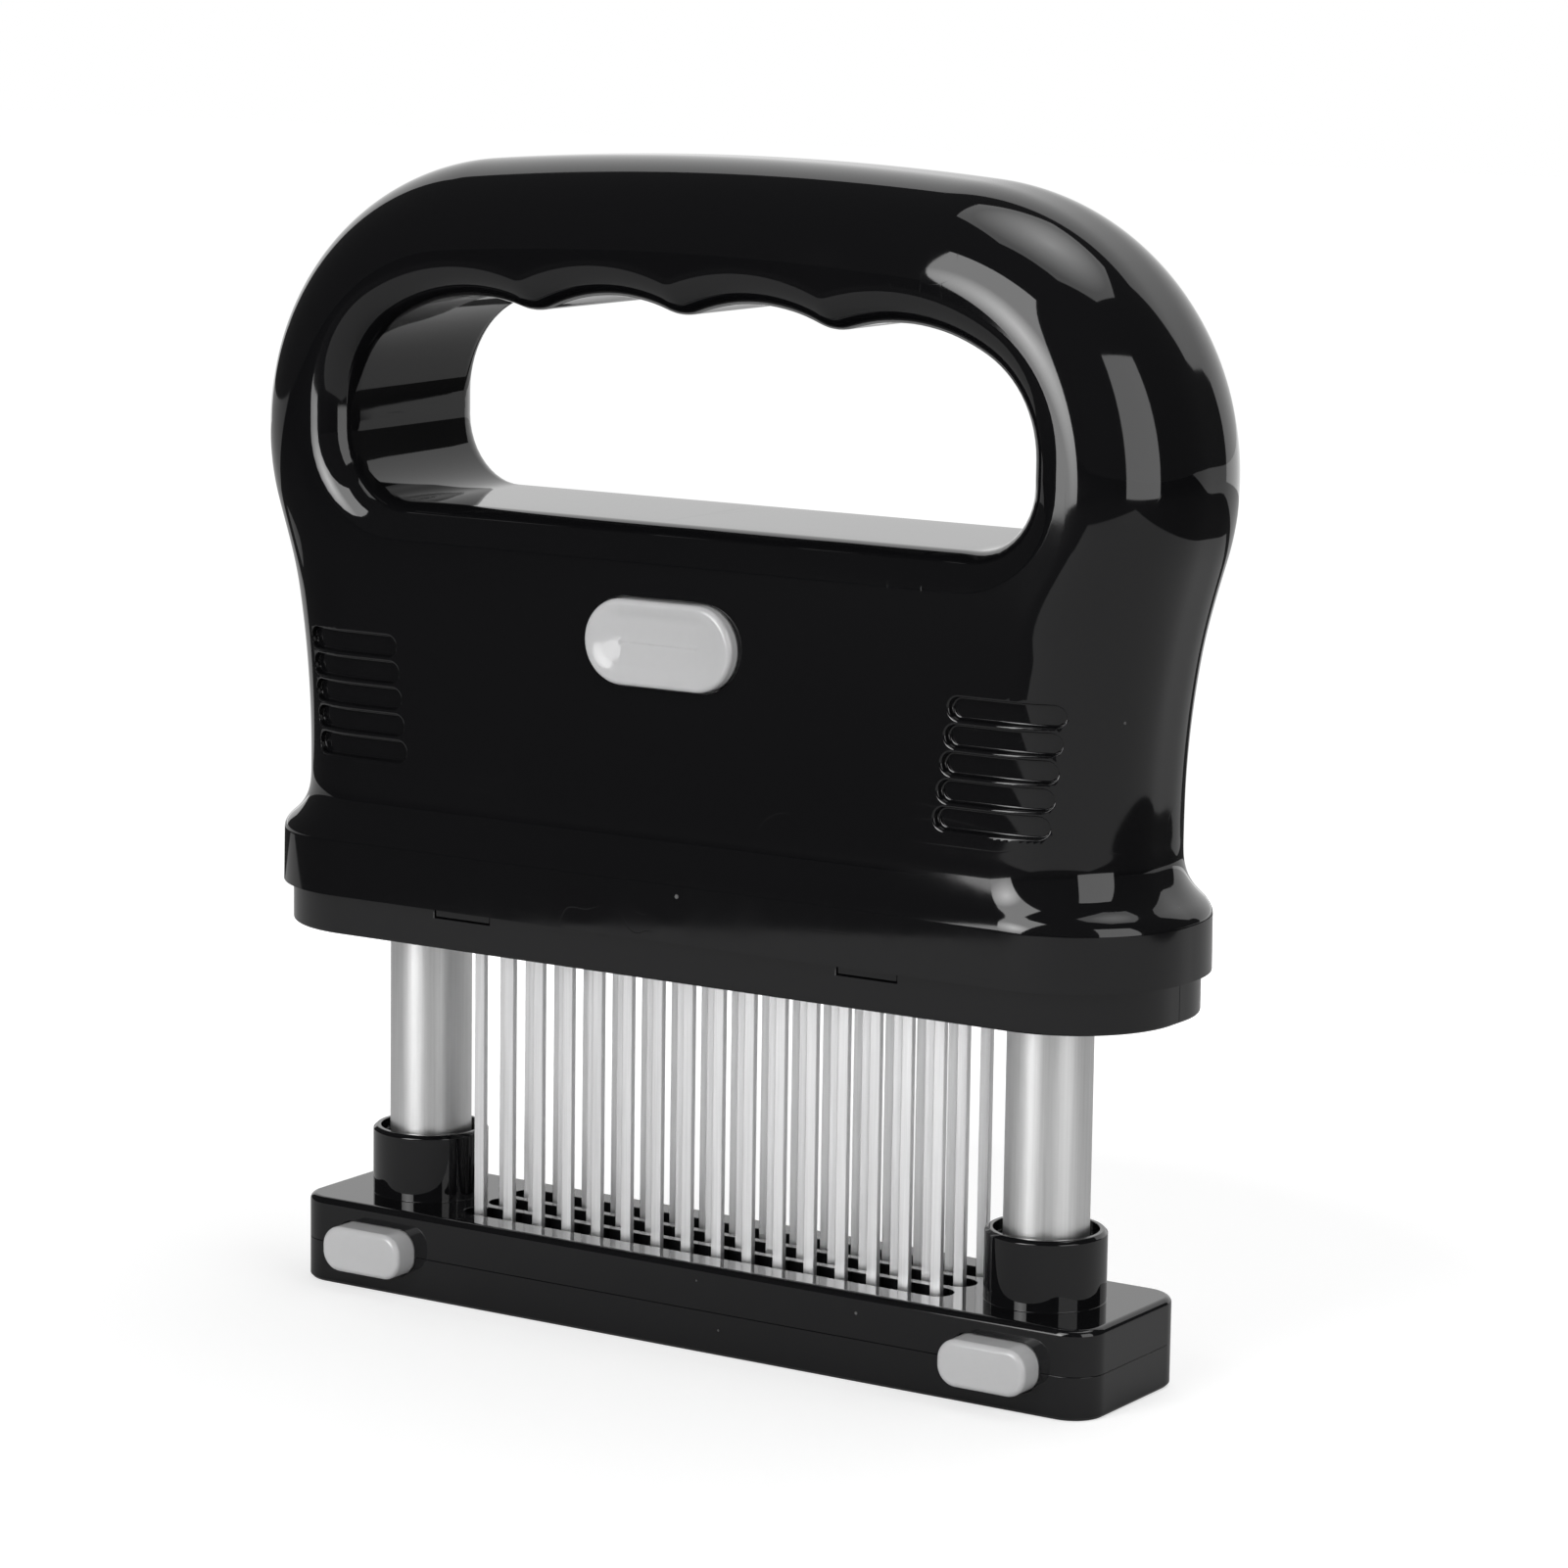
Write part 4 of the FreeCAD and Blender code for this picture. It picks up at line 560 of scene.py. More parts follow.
def housing_half(name, side):
    """One moulded half of the housing: its wall and recesses, the button's window or the screw wells."""
    piece = finish_mesh(housing_skin(side), name, sharp=60.0)
    wall = piece.modifiers.new("wall", "SOLIDIFY")
    wall.thickness = SHELL_WALL * MM
    wall.offset = -1
    fix_modifiers(piece)
    cut(piece, recess_tool(side))
    if side < 0:
        window = new_mesh()
        edges = obround(window, 0, BUTTON_LEVEL, BUTTON_LENGTH + 2 * BUTTON_GAP,
                        BUTTON_HEIGHT + 2 * BUTTON_GAP, CUT_SPACING)
        block_along(window, edges, side * (BODY_HALF_DEPTH - 2 * SHELL_WALL), side * CUT_END)
        cut(piece, window)
    else:
        well = [(0, SCREW_FLOOR), (SCREW_WELL, SCREW_FLOOR), (SCREW_WELL, CUT_END), (0, CUT_END)]
        for x, z in SCREW_PLANS:
            cut(piece, turned(well, x=x, y=z, axis="Y"))
        bm = new_mesh()
        bm.from_mesh(piece.data)
        bmesh.ops.scale(bm, vec=(1 / MM, 1 / MM, 1 / MM), verts=bm.verts)
        rim = BODY_HALF_DEPTH - SHELL_WALL + BOSS_LAP
        cup = [(SHANK_HOLE, SCREW_FLOOR), (SCREW_WELL, SCREW_FLOOR), (SCREW_WELL, rim), (BOSS, rim),
               (BOSS, SCREW_FLOOR - 2), (SHANK_HOLE, SCREW_FLOOR - 2), (SHANK_HOLE, SCREW_FLOOR)]
        for x, z in SCREW_PLANS:
            join_into(bm, turned(cup, x=x, y=z, axis="Y"))
        bpy.data.objects.remove(piece)
        piece = finish_mesh(bm, name, sharp=60.0)
    soften(piece, SEAM_GROOVE, angle=50.0)
    return piece


# ---- buttons

RELEASE_EDGE = 0.8
RELEASE_DISH = 0.85
RELEASE_BACK = 15.9
PUSH_REACH = 53.3
PUSH_LEVEL = 6.6
PUSH_LENGTH = 14.1
PUSH_HEIGHT = 6.8
PUSH_CORNER = 3.0
PUSH_FACE = 17.85
PUSH_BACK = 12.0
PUSH_EDGE = 0.8
PUSH_DISH = 0.0
DISH_RINGS = 9
DISH_LIFT = 0.25
DISH_MARGIN = 0.05
CAP_SPACING = 0.35
CAP_STEPS = 8


def rounded(bm, x, z, length, height, radius, spacing):
    """A closed rectangle with round corners in the XZ plane, about x, z; gives its edges."""
    drawn = set(bm.edges)
    across, up = length / 2 - radius, height / 2 - radius
    tip = start_line(bm, x, z + height / 2, (0, 0, 1))
    for hand, lift in ((1, 1), (1, -1), (-1, -1), (-1, 1)):
        corner = (x + hand * across, z + lift * up)
        if hand == lift:
            tip = line_on(bm, tip, corner[0], corner[1] + lift * radius, length)
        else:
            tip = line_on(bm, tip, corner[0] + hand * radius, corner[1], length)
        tip = arc_on(bm, tip, corner, math.pi / 2, spacing)
    line_on(bm, tip, x, z + height / 2, length)
    bmesh.ops.remove_doubles(bm, verts=bm.verts, dist=1e-4)
    return [e for e in bm.edges if e not in drawn]


def button_cap(x, z, length, height, corner, back, face, edge, dish):
    """The cap of a push button: straight sides, a soft edge and a face with a shallow dish for the finger."""
    bm = new_mesh()
    edges = rounded(bm, x, z, length, height, corner, CAP_SPACING)
    way = bm.verts.layers.float_vector["way"]
    reach = bm.verts.layers.float["reach"]
    for vert in bm.verts:
        vert[reach] = edge
        vert.co.y = -back
    bmesh.ops.edgeloop_fill(bm, edges=edges)
    rim = face - edge
    edges = next_row(bm, edges, lambda vert: setattr(vert.co, "y", -rim))
    edges = roll_edge(bm, edges, rim, edge, CAP_STEPS, -1)
    across, up = length / 2 - edge, height / 2 - edge
    inner = min(corner - edge, up) - DISH_MARGIN
    for ring in range(1, DISH_RINGS + 1):
        settle = min(1.0, 3 * ring / DISH_RINGS)

        def sink(vert):
            vert.co -= vert[way] * inner / DISH_RINGS
            rise = ((vert.co.z - z) / up - DISH_LIFT) / (1 + DISH_LIFT)
            bowl = (1 - ((vert.co.x - x) / across) ** 2) * (1 - rise ** 2)
            vert.co.y = dish * settle * max(0.0, bowl) - face

        edges = next_row(bm, edges, sink)
    bmesh.ops.edgeloop_fill(bm, edges=edges)
    bmesh.ops.recalc_face_normals(bm, faces=bm.faces)
    return bm


def push_button(name, node, x, z, length, height, corner, back, face, edge, dish):
    """A push button: its cap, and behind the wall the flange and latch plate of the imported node."""
    bm = recopy(node)
    trimmed = bmesh.ops.bisect_plane(bm, geom=bm.verts[:] + bm.edges[:] + bm.faces[:],
                                     plane_co=(0, -back, 0), plane_no=(0, -1, 0), clear_outer=True)
    rim = [g for g in trimmed["geom_cut"] if isinstance(g, bmesh.types.BMEdge)]
    bmesh.ops.edgeloop_fill(bm, edges=rim)
    join_into(bm, button_cap(x, z, length, height, corner, back, face, edge, dish))
    piece = finish_mesh(bm, name)
    weigh(piece)
    return piece


SNAP_REACH = 34.4
SNAP_LEVEL = 59.9
SNAP_LENGTH = 9.8
SNAP_HEIGHT = 1.5
SNAP_GAP = 0.12
SNAP_SINK = 0.18
SNAP_THICK = 2.3
SNAP_CORNER = 0.2


def snap_tabs(name, side):
    """The two tongues of a housing half that click into the skirt's windows, almost flush with its face."""
    skirt_face = max(abs(corner.y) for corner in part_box("skirt_front")) / MM
    bm = new_mesh()
    for hand in (-1, 1):
        tab = new_mesh()
        edges = rounded(tab, hand * SNAP_REACH, SNAP_LEVEL, SNAP_LENGTH - 2 * SNAP_GAP,
                        SNAP_HEIGHT - 2 * SNAP_GAP, SNAP_CORNER, SNAP_CORNER / 2)
        block_along(tab, edges, side * (skirt_face - SNAP_THICK), side * (skirt_face - SNAP_SINK))
        join_into(bm, tab)
    piece = finish_mesh(bm, name)
    soften(piece, 0.1)
    return piece


# ---- posts, springs and screws

POST_REACH = 53.3
POST_RADIUS = 6.1
POST_BORE = 5.0
POST_BOTTOM = 9.0
POST_TOP = 82.0
POST_CHAMFER = 0.5
CROSS_WIDTH = 0.75
CROSS_REACH = 1.5
CROSS_DEPTH = 0.9
CROSS_HEAD = 2.7
COIL_SIDES = 12
COIL_STEPS = 22


def post(name, x):
    """A drawn steel tube with a small chamfer at its top."""
    profile = [(POST_BORE, POST_BOTTOM), (POST_RADIUS, POST_BOTTOM), (POST_RADIUS, POST_TOP - POST_CHAMFER),
               (POST_RADIUS - POST_CHAMFER, POST_TOP), (POST_BORE, POST_TOP), (POST_BORE, POST_BOTTOM)]
    return finish_mesh(turned(profile, steps=96, x=x), name)


def coil(name, place, radius, wire, turns, start, end, along):
    """A wire coil with closed ends, about the Z or Y axis through place, from start to end along it."""
    bm = bmesh.new()
    ring = bmesh.ops.create_circle(bm, cap_ends=True, radius=wire / 2, segments=COIL_SIDES)["verts"]
    bmesh.ops.rotate(bm, cent=(0, 0, 0), matrix=Matrix.Rotation(math.pi / 2, 3, "X"), verts=ring)
    bmesh.ops.translate(bm, vec=(radius, 0, start + wire / 2), verts=ring)
    geom = bm.verts[:] + bm.edges[:] + bm.faces[:]
    open_length = end - start - 3 * wire
    for share, length in ((1, wire), (turns - 2, open_length), (1, wire)):
        steps = share * COIL_STEPS
        spun = bmesh.ops.spin(bm, geom=geom, cent=(0, 0, 0), axis=(0, 0, 1), dvec=(0, 0, length / steps),
                              angle=share * 2 * math.pi, steps=steps)
        geom = spun["geom_last"]
    bmesh.ops.recalc_face_normals(bm, faces=bm.faces)
    stand(bm, along, *place)
    return finish_mesh(bm, name)


def screw_set(name, places, seat, length, radius, head, head_height, along):
    """Self-tapping screws with domed heads and a cross recess, about Z or Y, length long under the head."""
    bm = new_mesh()
    out = 1 if along == "Y" else -1
    dome = [(head, 0.0), (head, 0.45 * head_height)]
    for share in (0.3, 0.6, 0.85, 1.0):
        dome.append((head * math.cos(share * math.pi / 2) ** 0.7 if share < 1 else 0.0,
                     head_height * (0.45 + 0.55 * math.sin(share * math.pi / 2))))
    shank = [(0.0, -length), (radius * 0.55, 1.2 * radius - length), (radius, 2.4 * radius - length),
             (radius, 0.0)]
    profile = [(r, seat + out * h) for r, h in shank + dome]
    for x, other in places:
        join_into(bm, turned(profile, steps=36, x=x, y=other, axis=along))
    bmesh.ops.recalc_face_normals(bm, faces=bm.faces)
    piece = finish_mesh(bm, name)
    scale = head / CROSS_HEAD
    reach, width, depth = CROSS_REACH * scale, CROSS_WIDTH * scale, CROSS_DEPTH * scale
    top = seat + out * head_height
    for across, up in ((reach, width), (width, reach)):
        tool = bmesh.new()
        size = (across, depth, up) if along == "Y" else (across, up, depth)
        for x, other in places:
            block = bmesh.ops.create_cube(tool, size=2.0)["verts"]
            bmesh.ops.scale(tool, vec=size, verts=block)
            place = (x, top, other) if along == "Y" else (x, other, top)
            bmesh.ops.translate(tool, vec=place, verts=block)
        cut(piece, tool)
    soften(piece, 0.06, angle=50)
    return piece


def broken_copy(name, node, width):
    """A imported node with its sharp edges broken."""
    piece = finish_mesh(recopy(node), name, sharp=30.0)
    soften(piece, width, angle=35.0)
    return piece


# ---- materials

def shader_group(name, values, results):
    """An empty shader node group: a vector and named numbers go in, and named numbers come out."""
    tree = bpy.data.node_groups.new(name, "ShaderNodeTree")
    tree.interface.new_socket(name="Vector", in_out="INPUT", socket_type="NodeSocketVector")
    for label, value in values.items():
        socket = tree.interface.new_socket(name=label, in_out="INPUT", socket_type="NodeSocketFloat")
        socket.default_value = value
    for label in results:
        tree.interface.new_socket(name=label, in_out="OUTPUT", socket_type="NodeSocketFloat")
    return tree, tree.nodes.new("NodeGroupInput"), tree.nodes.new("NodeGroupOutput")


def feed(tree, term, target):
    """Gives an input socket a number, or joins another socket to it."""
    if isinstance(term, (int, float)):
        target.default_value = term
    else:
        tree.links.new(term, target)


def maths(tree, operation, first, second=0.0, clamp=False):
    """A Math node: each of its two terms is a socket or a number; gives the result's socket."""
    made = tree.nodes.new("ShaderNodeMath")
    made.operation = operation
    made.use_clamp = clamp
    feed(tree, first, made.inputs[0])
    feed(tree, second, made.inputs[1])
    return made.outputs[0]


def times(tree, first, second):
    """The product of two terms."""
    return maths(tree, "MULTIPLY", first, second)


def plus(tree, first, second, clamp=False):
    """The sum of two terms."""
    return maths(tree, "ADD", first, second, clamp)


def measure(tree, operation, place, other=None):
    """A number that a Vector Math node works out from a place and, where there is one, another."""
    made = tree.nodes.new("ShaderNodeVectorMath")
    made.operation = operation
    tree.links.new(place, made.inputs[0])
    if other is not None:
        made.inputs[1].default_value = other
    return made.outputs["Value"]


def mapped(tree, vector, stretch=(1, 1, 1), turn=(0, 0, 0)):
    """Stretches and turns a vector; gives its socket."""
    made = tree.nodes.new("ShaderNodeMapping")
    made.inputs["Scale"].default_value = stretch
    made.inputs["Rotation"].default_value = turn
    tree.links.new(vector, made.inputs["Vector"])
    return made.outputs["Vector"]


def noise(tree, vector, scale, detail=2.0, roughness=0.5, stretch=None, turn=None):
    """A noise value over a vector, which may be stretched and turned; gives its socket."""
    if stretch or turn:
        vector = mapped(tree, vector, stretch or (1, 1, 1), turn or (0, 0, 0))
    made = tree.nodes.new("ShaderNodeTexNoise")
    made.inputs["Detail"].default_value = detail
    made.inputs["Roughness"].default_value = roughness
    feed(tree, scale, made.inputs["Scale"])
    tree.links.new(vector, made.inputs["Vector"])
    return made.outputs["Fac"]


def spread(tree, value, low, high, out_low=0.0, out_high=1.0):
    """Maps a value from low..high to out_low..out_high, clamped; gives its socket."""
    made = tree.nodes.new("ShaderNodeMapRange")
    for label, number in (("From Min", low), ("From Max", high), ("To Min", out_low), ("To Max", out_high)):
        made.inputs[label].default_value = number
    tree.links.new(value, made.inputs["Value"])
    return made.outputs["Result"]


def hairlines_group():
    """Thin, sparse scratches in three directions, as a mask."""
    tree, given, result = shader_group("hairline scratches", {"Scale": 120.0, "Amount": 0.5}, ["Mask"])
    total = None
    for turn, stretch in (((0.3, 0.9, 0.5), (1, 1, 0.03)), ((1.1, 0.2, 1.9), (1, 0.03, 1)),
                          ((0.7, 2.2, 0.1), (0.03, 1, 1))):
        lines = noise(tree, given.outputs["Vector"], given.outputs["Scale"], 0.0, 0.5, stretch, turn)
        near = maths(tree, "ABSOLUTE", maths(tree, "SUBTRACT", lines, 0.5))
        thin = spread(tree, near, 0.0, 0.006, 1.0, 0.0)
        patch = noise(tree, given.outputs["Vector"], 55.0, 1.0, 0.5, None, turn)
        sparse = times(tree, thin, spread(tree, patch, 0.55, 0.7))
        total = sparse if total is None else maths(tree, "MAXIMUM", total, sparse)
    tree.links.new(times(tree, total, given.outputs["Amount"]), result.inputs["Mask"])
    return tree


def dust_group():
    """Tiny settled specks, as a mask: a few cells of a fine pattern hold one speck each."""
    tree, given, result = shader_group("dust specks", {"Scale": 420.0, "Share": 0.04}, ["Mask"])
    cells = tree.nodes.new("ShaderNodeTexVoronoi")
    tree.links.new(given.outputs["Vector"], cells.inputs["Vector"])
    tree.links.new(given.outputs["Scale"], cells.inputs["Scale"])
    split = tree.nodes.new("ShaderNodeSeparateColor")
    tree.links.new(cells.outputs["Color"], split.inputs["Color"])
    chosen = maths(tree, "LESS_THAN", split.outputs["Red"], given.outputs["Share"])
    size = spread(tree, split.outputs["Green"], 0.0, 1.0, 0.03, 0.1)
    speck = maths(tree, "LESS_THAN", cells.outputs["Distance"], size)
    tree.links.new(times(tree, chosen, speck), result.inputs["Mask"])
    return tree


def grain_group():
    """Fine parallel grain of drawn or ground metal, long along one axis, as a value about a half."""
    tree, given, result = shader_group("metal grain", {"Scale": 900.0}, ["Value", "Broad"])
    fine = noise(tree, given.outputs["Vector"], given.outputs["Scale"], 3.0, 0.65)
    broad = noise(tree, given.outputs["Vector"], times(tree, given.outputs["Scale"], 0.13), 2.0, 0.5)
    tree.links.new(fine, result.inputs["Value"])
    tree.links.new(broad, result.inputs["Broad"])
    return tree


HAIRLINES = hairlines_group()
DUST = dust_group()
GRAIN = grain_group()


def use_group(tree, group, vector, **values):
    """Places a node group in a material's tree with its own values."""
    made = tree.nodes.new("ShaderNodeGroup")
    made.node_tree = group
    tree.links.new(vector, made.inputs["Vector"])
    for label, value in values.items():
        made.inputs[label].default_value = value
    return made


def new_material(name, colour, metallic, roughness, ior=1.5):
    """A material; gives it, its tree, its Principled shader and the piece's own coordinates."""
    material = bpy.data.materials.new(name)
    material.use_nodes = True
    tree = material.node_tree
    shader = tree.nodes["Principled BSDF"]
    shader.inputs["Base Color"].default_value = (*colour, 1)
    shader.inputs["Metallic"].default_value = metallic
    shader.inputs["Roughness"].default_value = roughness
    shader.inputs["IOR"].default_value = ior
    vector = tree.nodes.new("ShaderNodeTexCoord").outputs["Object"]
    return material, tree, shader, vector


def blend_colour(tree, mask, low, high):
    """Mixes two colours by a mask; gives the colour's socket."""
    mix = tree.nodes.new("ShaderNodeMix")
    mix.data_type = "RGBA"
    tree.links.new(mask, mix.inputs["Factor"])
    mix.inputs[6].default_value = (*low, 1)
    mix.inputs[7].default_value = (*high, 1)
    return mix.outputs[2]


def bump(tree, shader, height, distance):
    """Feeds a height in millimetres of distance to the shader's normal."""
    made = tree.nodes.new("ShaderNodeBump")
    made.inputs["Strength"].default_value = 1.0
    made.inputs["Distance"].default_value = distance * MM
    tree.links.new(height, made.inputs["Height"])
    tree.links.new(made.outputs["Normal"], shader.inputs["Normal"])


HOUSING_TONE = (0.0045, 0.0045, 0.005)
DUST_TONE = (0.08, 0.08, 0.08)


def housing_plastic():
    """High-gloss black moulding: faint flow marks, finger smudges, hairline scratches and a little dust."""
    material, tree, shader, vector = new_material("high gloss black plastic", HOUSING_TONE, 0.0, 0.06, 1.49)
    smudge = noise(tree, vector, 48.0, 4.0, 0.6)
    scratches = use_group(tree, HAIRLINES, vector, Scale=140.0, Amount=0.6).outputs["Mask"]
    dust = use_group(tree, DUST, vector, Scale=260.0, Share=0.025).outputs["Mask"]
    rough = spread(tree, smudge, 0.42, 0.72, 0.03, 0.075)
    rough = plus(tree, rough, times(tree, scratches, 0.12))
    rough = plus(tree, rough, times(tree, dust, 0.5), clamp=True)
    tree.links.new(rough, shader.inputs["Roughness"])
    tree.links.new(blend_colour(tree, dust, HOUSING_TONE, DUST_TONE), shader.inputs["Base Color"])
    flow = noise(tree, vector, 90.0, 2.0, 0.4)
    height = maths(tree, "SUBTRACT", times(tree, flow, 0.35), times(tree, scratches, 0.2))
    bump(tree, shader, height, 0.012)
    return material


def button_plastic():
    """Light grey moulding with a satin sheen and the faint mottle of filled plastic."""
    material, tree, shader, vector = new_material("light grey plastic", (0.5, 0.5, 0.505), 0.0, 0.06, 1.5)
    mottle = noise(tree, vector, 700.0, 3.0, 0.6)
    tone = noise(tree, vector, 60.0, 2.0, 0.5)
    scratches = use_group(tree, HAIRLINES, vector, Scale=200.0, Amount=0.5).outputs["Mask"]
    shade = plus(tree, times(tree, tone, 0.7), times(tree, mottle, 0.3))
    colour = blend_colour(tree, shade, (0.47, 0.47, 0.475), (0.55, 0.55, 0.555))
    tree.links.new(colour, shader.inputs["Base Color"])
    rough = spread(tree, tone, 0.3, 0.7, 0.05, 0.09)
    tree.links.new(plus(tree, rough, times(tree, scratches, 0.1)), shader.inputs["Roughness"])
    bump(tree, shader, mottle, 0.006)
    return material


def inner_plastic():
    """Unpolished black moulding of the pieces inside."""
    material, tree, shader, vector = new_material("unpolished black plastic", (0.025, 0.025, 0.027), 0.0, 0.5)
    texture = noise(tree, vector, 1500.0, 3.0, 0.6)
    tree.links.new(spread(tree, texture, 0.3, 0.7, 0.42, 0.6), shader.inputs["Roughness"])
    bump(tree, shader, texture, 0.02)
    return material


def steel(name, colour, rough, stretch, scale, depth):
    """Bare steel with grain that runs along one axis: the axis where stretch is small."""
    material, tree, shader, vector = new_material(name, colour, 1.0, rough)
    grain = use_group(tree, GRAIN, mapped(tree, vector, stretch), Scale=scale)
    scratches = use_group(tree, HAIRLINES, vector, Scale=170.0, Amount=0.3).outputs["Mask"]
    value = grain.outputs["Value"]
    dark = tuple(c * 0.93 for c in colour)
    light = tuple(min(1.0, c * 1.05) for c in colour)
    shade = spread(tree, value, 0.3, 0.7)
    tree.links.new(blend_colour(tree, shade, dark, light), shader.inputs["Base Color"])
    varied = plus(tree, spread(tree, value, 0.3, 0.7, rough - 0.03, rough + 0.03),
                  spread(tree, grain.outputs["Broad"], 0.3, 0.7, -0.03, 0.04))
    tree.links.new(plus(tree, varied, times(tree, scratches, 0.1)), shader.inputs["Roughness"])
    bump(tree, shader, value, depth)
    return material


FINISHES = {
    "housing_black": housing_plastic(),
    "button_grey": button_plastic(),
    "inner_black": inner_plastic(),
    "blade_steel": steel("ground stainless steel", (0.88, 0.88, 0.885), 0.4, (1, 1, 0.015), 3200.0, 0.0004),
    "post_steel": steel("drawn steel tube", (0.82, 0.82, 0.82), 0.4, (1, 1, 0.015), 2600.0, 0.0004),
    "spring_steel": steel("spring wire", (0.5, 0.5, 0.51), 0.28, (1, 1, 1), 900.0, 0.003),
    "screw_steel": steel("zinc plated steel", (0.42, 0.42, 0.44), 0.34, (1, 1, 1), 1200.0, 0.006),
}


# ---- assembly

SIDES = (("left", -1), ("right", 1))
COPIES = (("front_skirt", "head", "skirt_front", 0.22), ("rear_skirt", "head", "skirt_rear", 0.22),
          ("foot_upper", "base", "base_top_cover", 0.16), ("foot_lower", "base", "base_bottom_cover", 0.16))
BLADE_BREAK = 0.1
# springs: radius of the coil, wire, turns, and where they start and end
RETURN_SPRING = (4.1, 0.9, 14, 14.0, 72.0)
FOOT_SPRING = (1.2, 0.45, 8, 1.5, 11.85)
RELEASE_SPRING = (2.2, 0.6, 7, 5.4, 16.1)
FOOT_SPRING_REACH = 62.9
FOOT_SPRING_LEVEL = 6.6
RELEASE_SPRING_LEVEL = 99.6
# screws: seat, length, radius of the shank, radius and height of the head
SHELL_SCREWS = (SCREW_FLOOR, 19.7, 1.3, 2.7, 1.7)
FOOT_SCREWS = (1.3, 9.2, 0.95, 1.7, 1.0)
FOOT_SCREW_PLACES = [(-64.0, -7.4), (64.0, -7.4)]


def spring_set(name, node, body, place, sizes, along):
    """A wire coil on its body, along Z against its foot or along Y against its end, with a mesh of its own."""
    piece = coil(name, place, *sizes, along)
    dress(piece, body, "spring_steel", node)
    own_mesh(piece)


dress(housing_half("front_housing", -1), "head", "housing_black", "front_shell")
dress(housing_half("rear_housing", 1), "head", "housing_black", "rear_shell")
for name, body, packed, width in COPIES:
    dress(broken_copy(name, packed, width), body, "housing_black", packed)
for name, side in (("front_snap_tabs", -1), ("rear_snap_tabs", 1)):
    dress(snap_tabs(name, side), "head", "housing_black")
dress(push_button("cartridge_button", "release_button", 0, BUTTON_LEVEL, BUTTON_LENGTH, BUTTON_HEIGHT,
                  BUTTON_HEIGHT / 2 - 0.001, RELEASE_BACK, BUTTON_FACE, RELEASE_EDGE, RELEASE_DISH),
      "release", "button_grey", "release_button")
for side, hand in SIDES:
    dress(push_button("foot_button_" + side, "base_button_" + side, hand * PUSH_REACH, PUSH_LEVEL,
                      PUSH_LENGTH, PUSH_HEIGHT, PUSH_CORNER, PUSH_BACK, PUSH_FACE, PUSH_EDGE, PUSH_DISH),
          "base_latch_" + side, "button_grey", "base_button_" + side)
    dress(post("tube_post_" + side, hand * POST_REACH), "base", "post_steel", "post_" + side)
    spring_set("return_coil_" + side, "return_spring_" + side, "base",
               (hand * POST_REACH, 0), RETURN_SPRING, "Z")
    spring_set("foot_coil_" + side, "base_spring_" + side, "base",
               (hand * FOOT_SPRING_REACH, FOOT_SPRING_LEVEL), FOOT_SPRING, "Y")
spring_set("button_coil", "release_spring", "head", (0, RELEASE_SPRING_LEVEL),
           RELEASE_SPRING, "Y")
for row in ("front", "middle", "rear"):
    dress(broken_copy("blades_" + row, "blade_row_" + row, BLADE_BREAK), "head", "blade_steel",
          "blade_row_" + row)
dress(screw_set("housing_screws", SCREW_PLANS, *SHELL_SCREWS, "Y"), "head", "screw_steel", "shell_screws")
dress(screw_set("foot_screws", FOOT_SCREW_PLACES, *FOOT_SCREWS, "Z"), "base", "screw_steel", "base_screws")

for subpart in frame["record"]["subparts"]:
    kept = frame["nodes"][subpart["node"]]
    if not kept.hide_render:
        kept.data.materials.clear()
        kept.data.materials.append(FINISHES[subpart["material_slot"]])


# ---- floor, light and camera

AIM = Vector((-1.692, 0, 84.363))
AZIMUTH = 33.1
ELEVATION = 9.295
ROLL = 0.708
DISTANCE = 767.8
FOCAL_SHARE = 5461.96 / 1601
SHIFT = (0.0391, -0.0183)
# lamps, in metres: outline or ends and levels on their wall, then reach and strengths
LAMP_REACH = 1.0
FRONT_SIDE = -8.0
FRONT_CORNERS = ((-0.35, 0.0), (0.02, 0.0), (0.4, 1.13), (-0.27, 1.15))
FRONT_MIDDLE = (-0.09, 0.29)
FRONT_GLOW = (0.3, 12.0, 4.6)
RIGHT_BOX = (75.0, (-0.32, 0.32), (0.0, 0.9), 2.5)
BACK_BOX = (197.0, (-0.95, 1.0), (0.0, 1.33), 0.9)
TOP_MIDDLE = (0.2, 0.23, 1.13)
TOP_RADIUS = 0.52
TOP_GLOW = (0.42, 4.9, 1.5)
# table and room, in metres from the object
TABLE_TURN = 33.0
TABLE_LENGTH = (-0.34, 0.6)
TABLE_WIDTH = (-0.39, 0.43)
TABLE_CUT_SIDE = -35.4
TABLE_CUT = 0.405
TABLE_COLOUR = (0.5, 0.5, 0.5)
ROOM_FLOOR = (0.05, 0.05, 0.05)
SWEEP_START = 0.45
SWEEP_SHINE = 0.5
SHADE_REACH = (0.12, 0.26)
SHADE_KEPT = 0.6
ROOM_FILL = 0.15
ROOM_GLOSS = 0.05
WHITE = (1, 1, 1, 1)


def towards(azimuth, elevation):
    """A direction from the object: azimuth 0 is the front and 90 the right, elevation is upwards."""
    turn, lift = math.radians(azimuth), math.radians(elevation)
    return Vector((math.sin(turn) * math.cos(lift), -math.cos(turn) * math.cos(lift), math.sin(lift)))


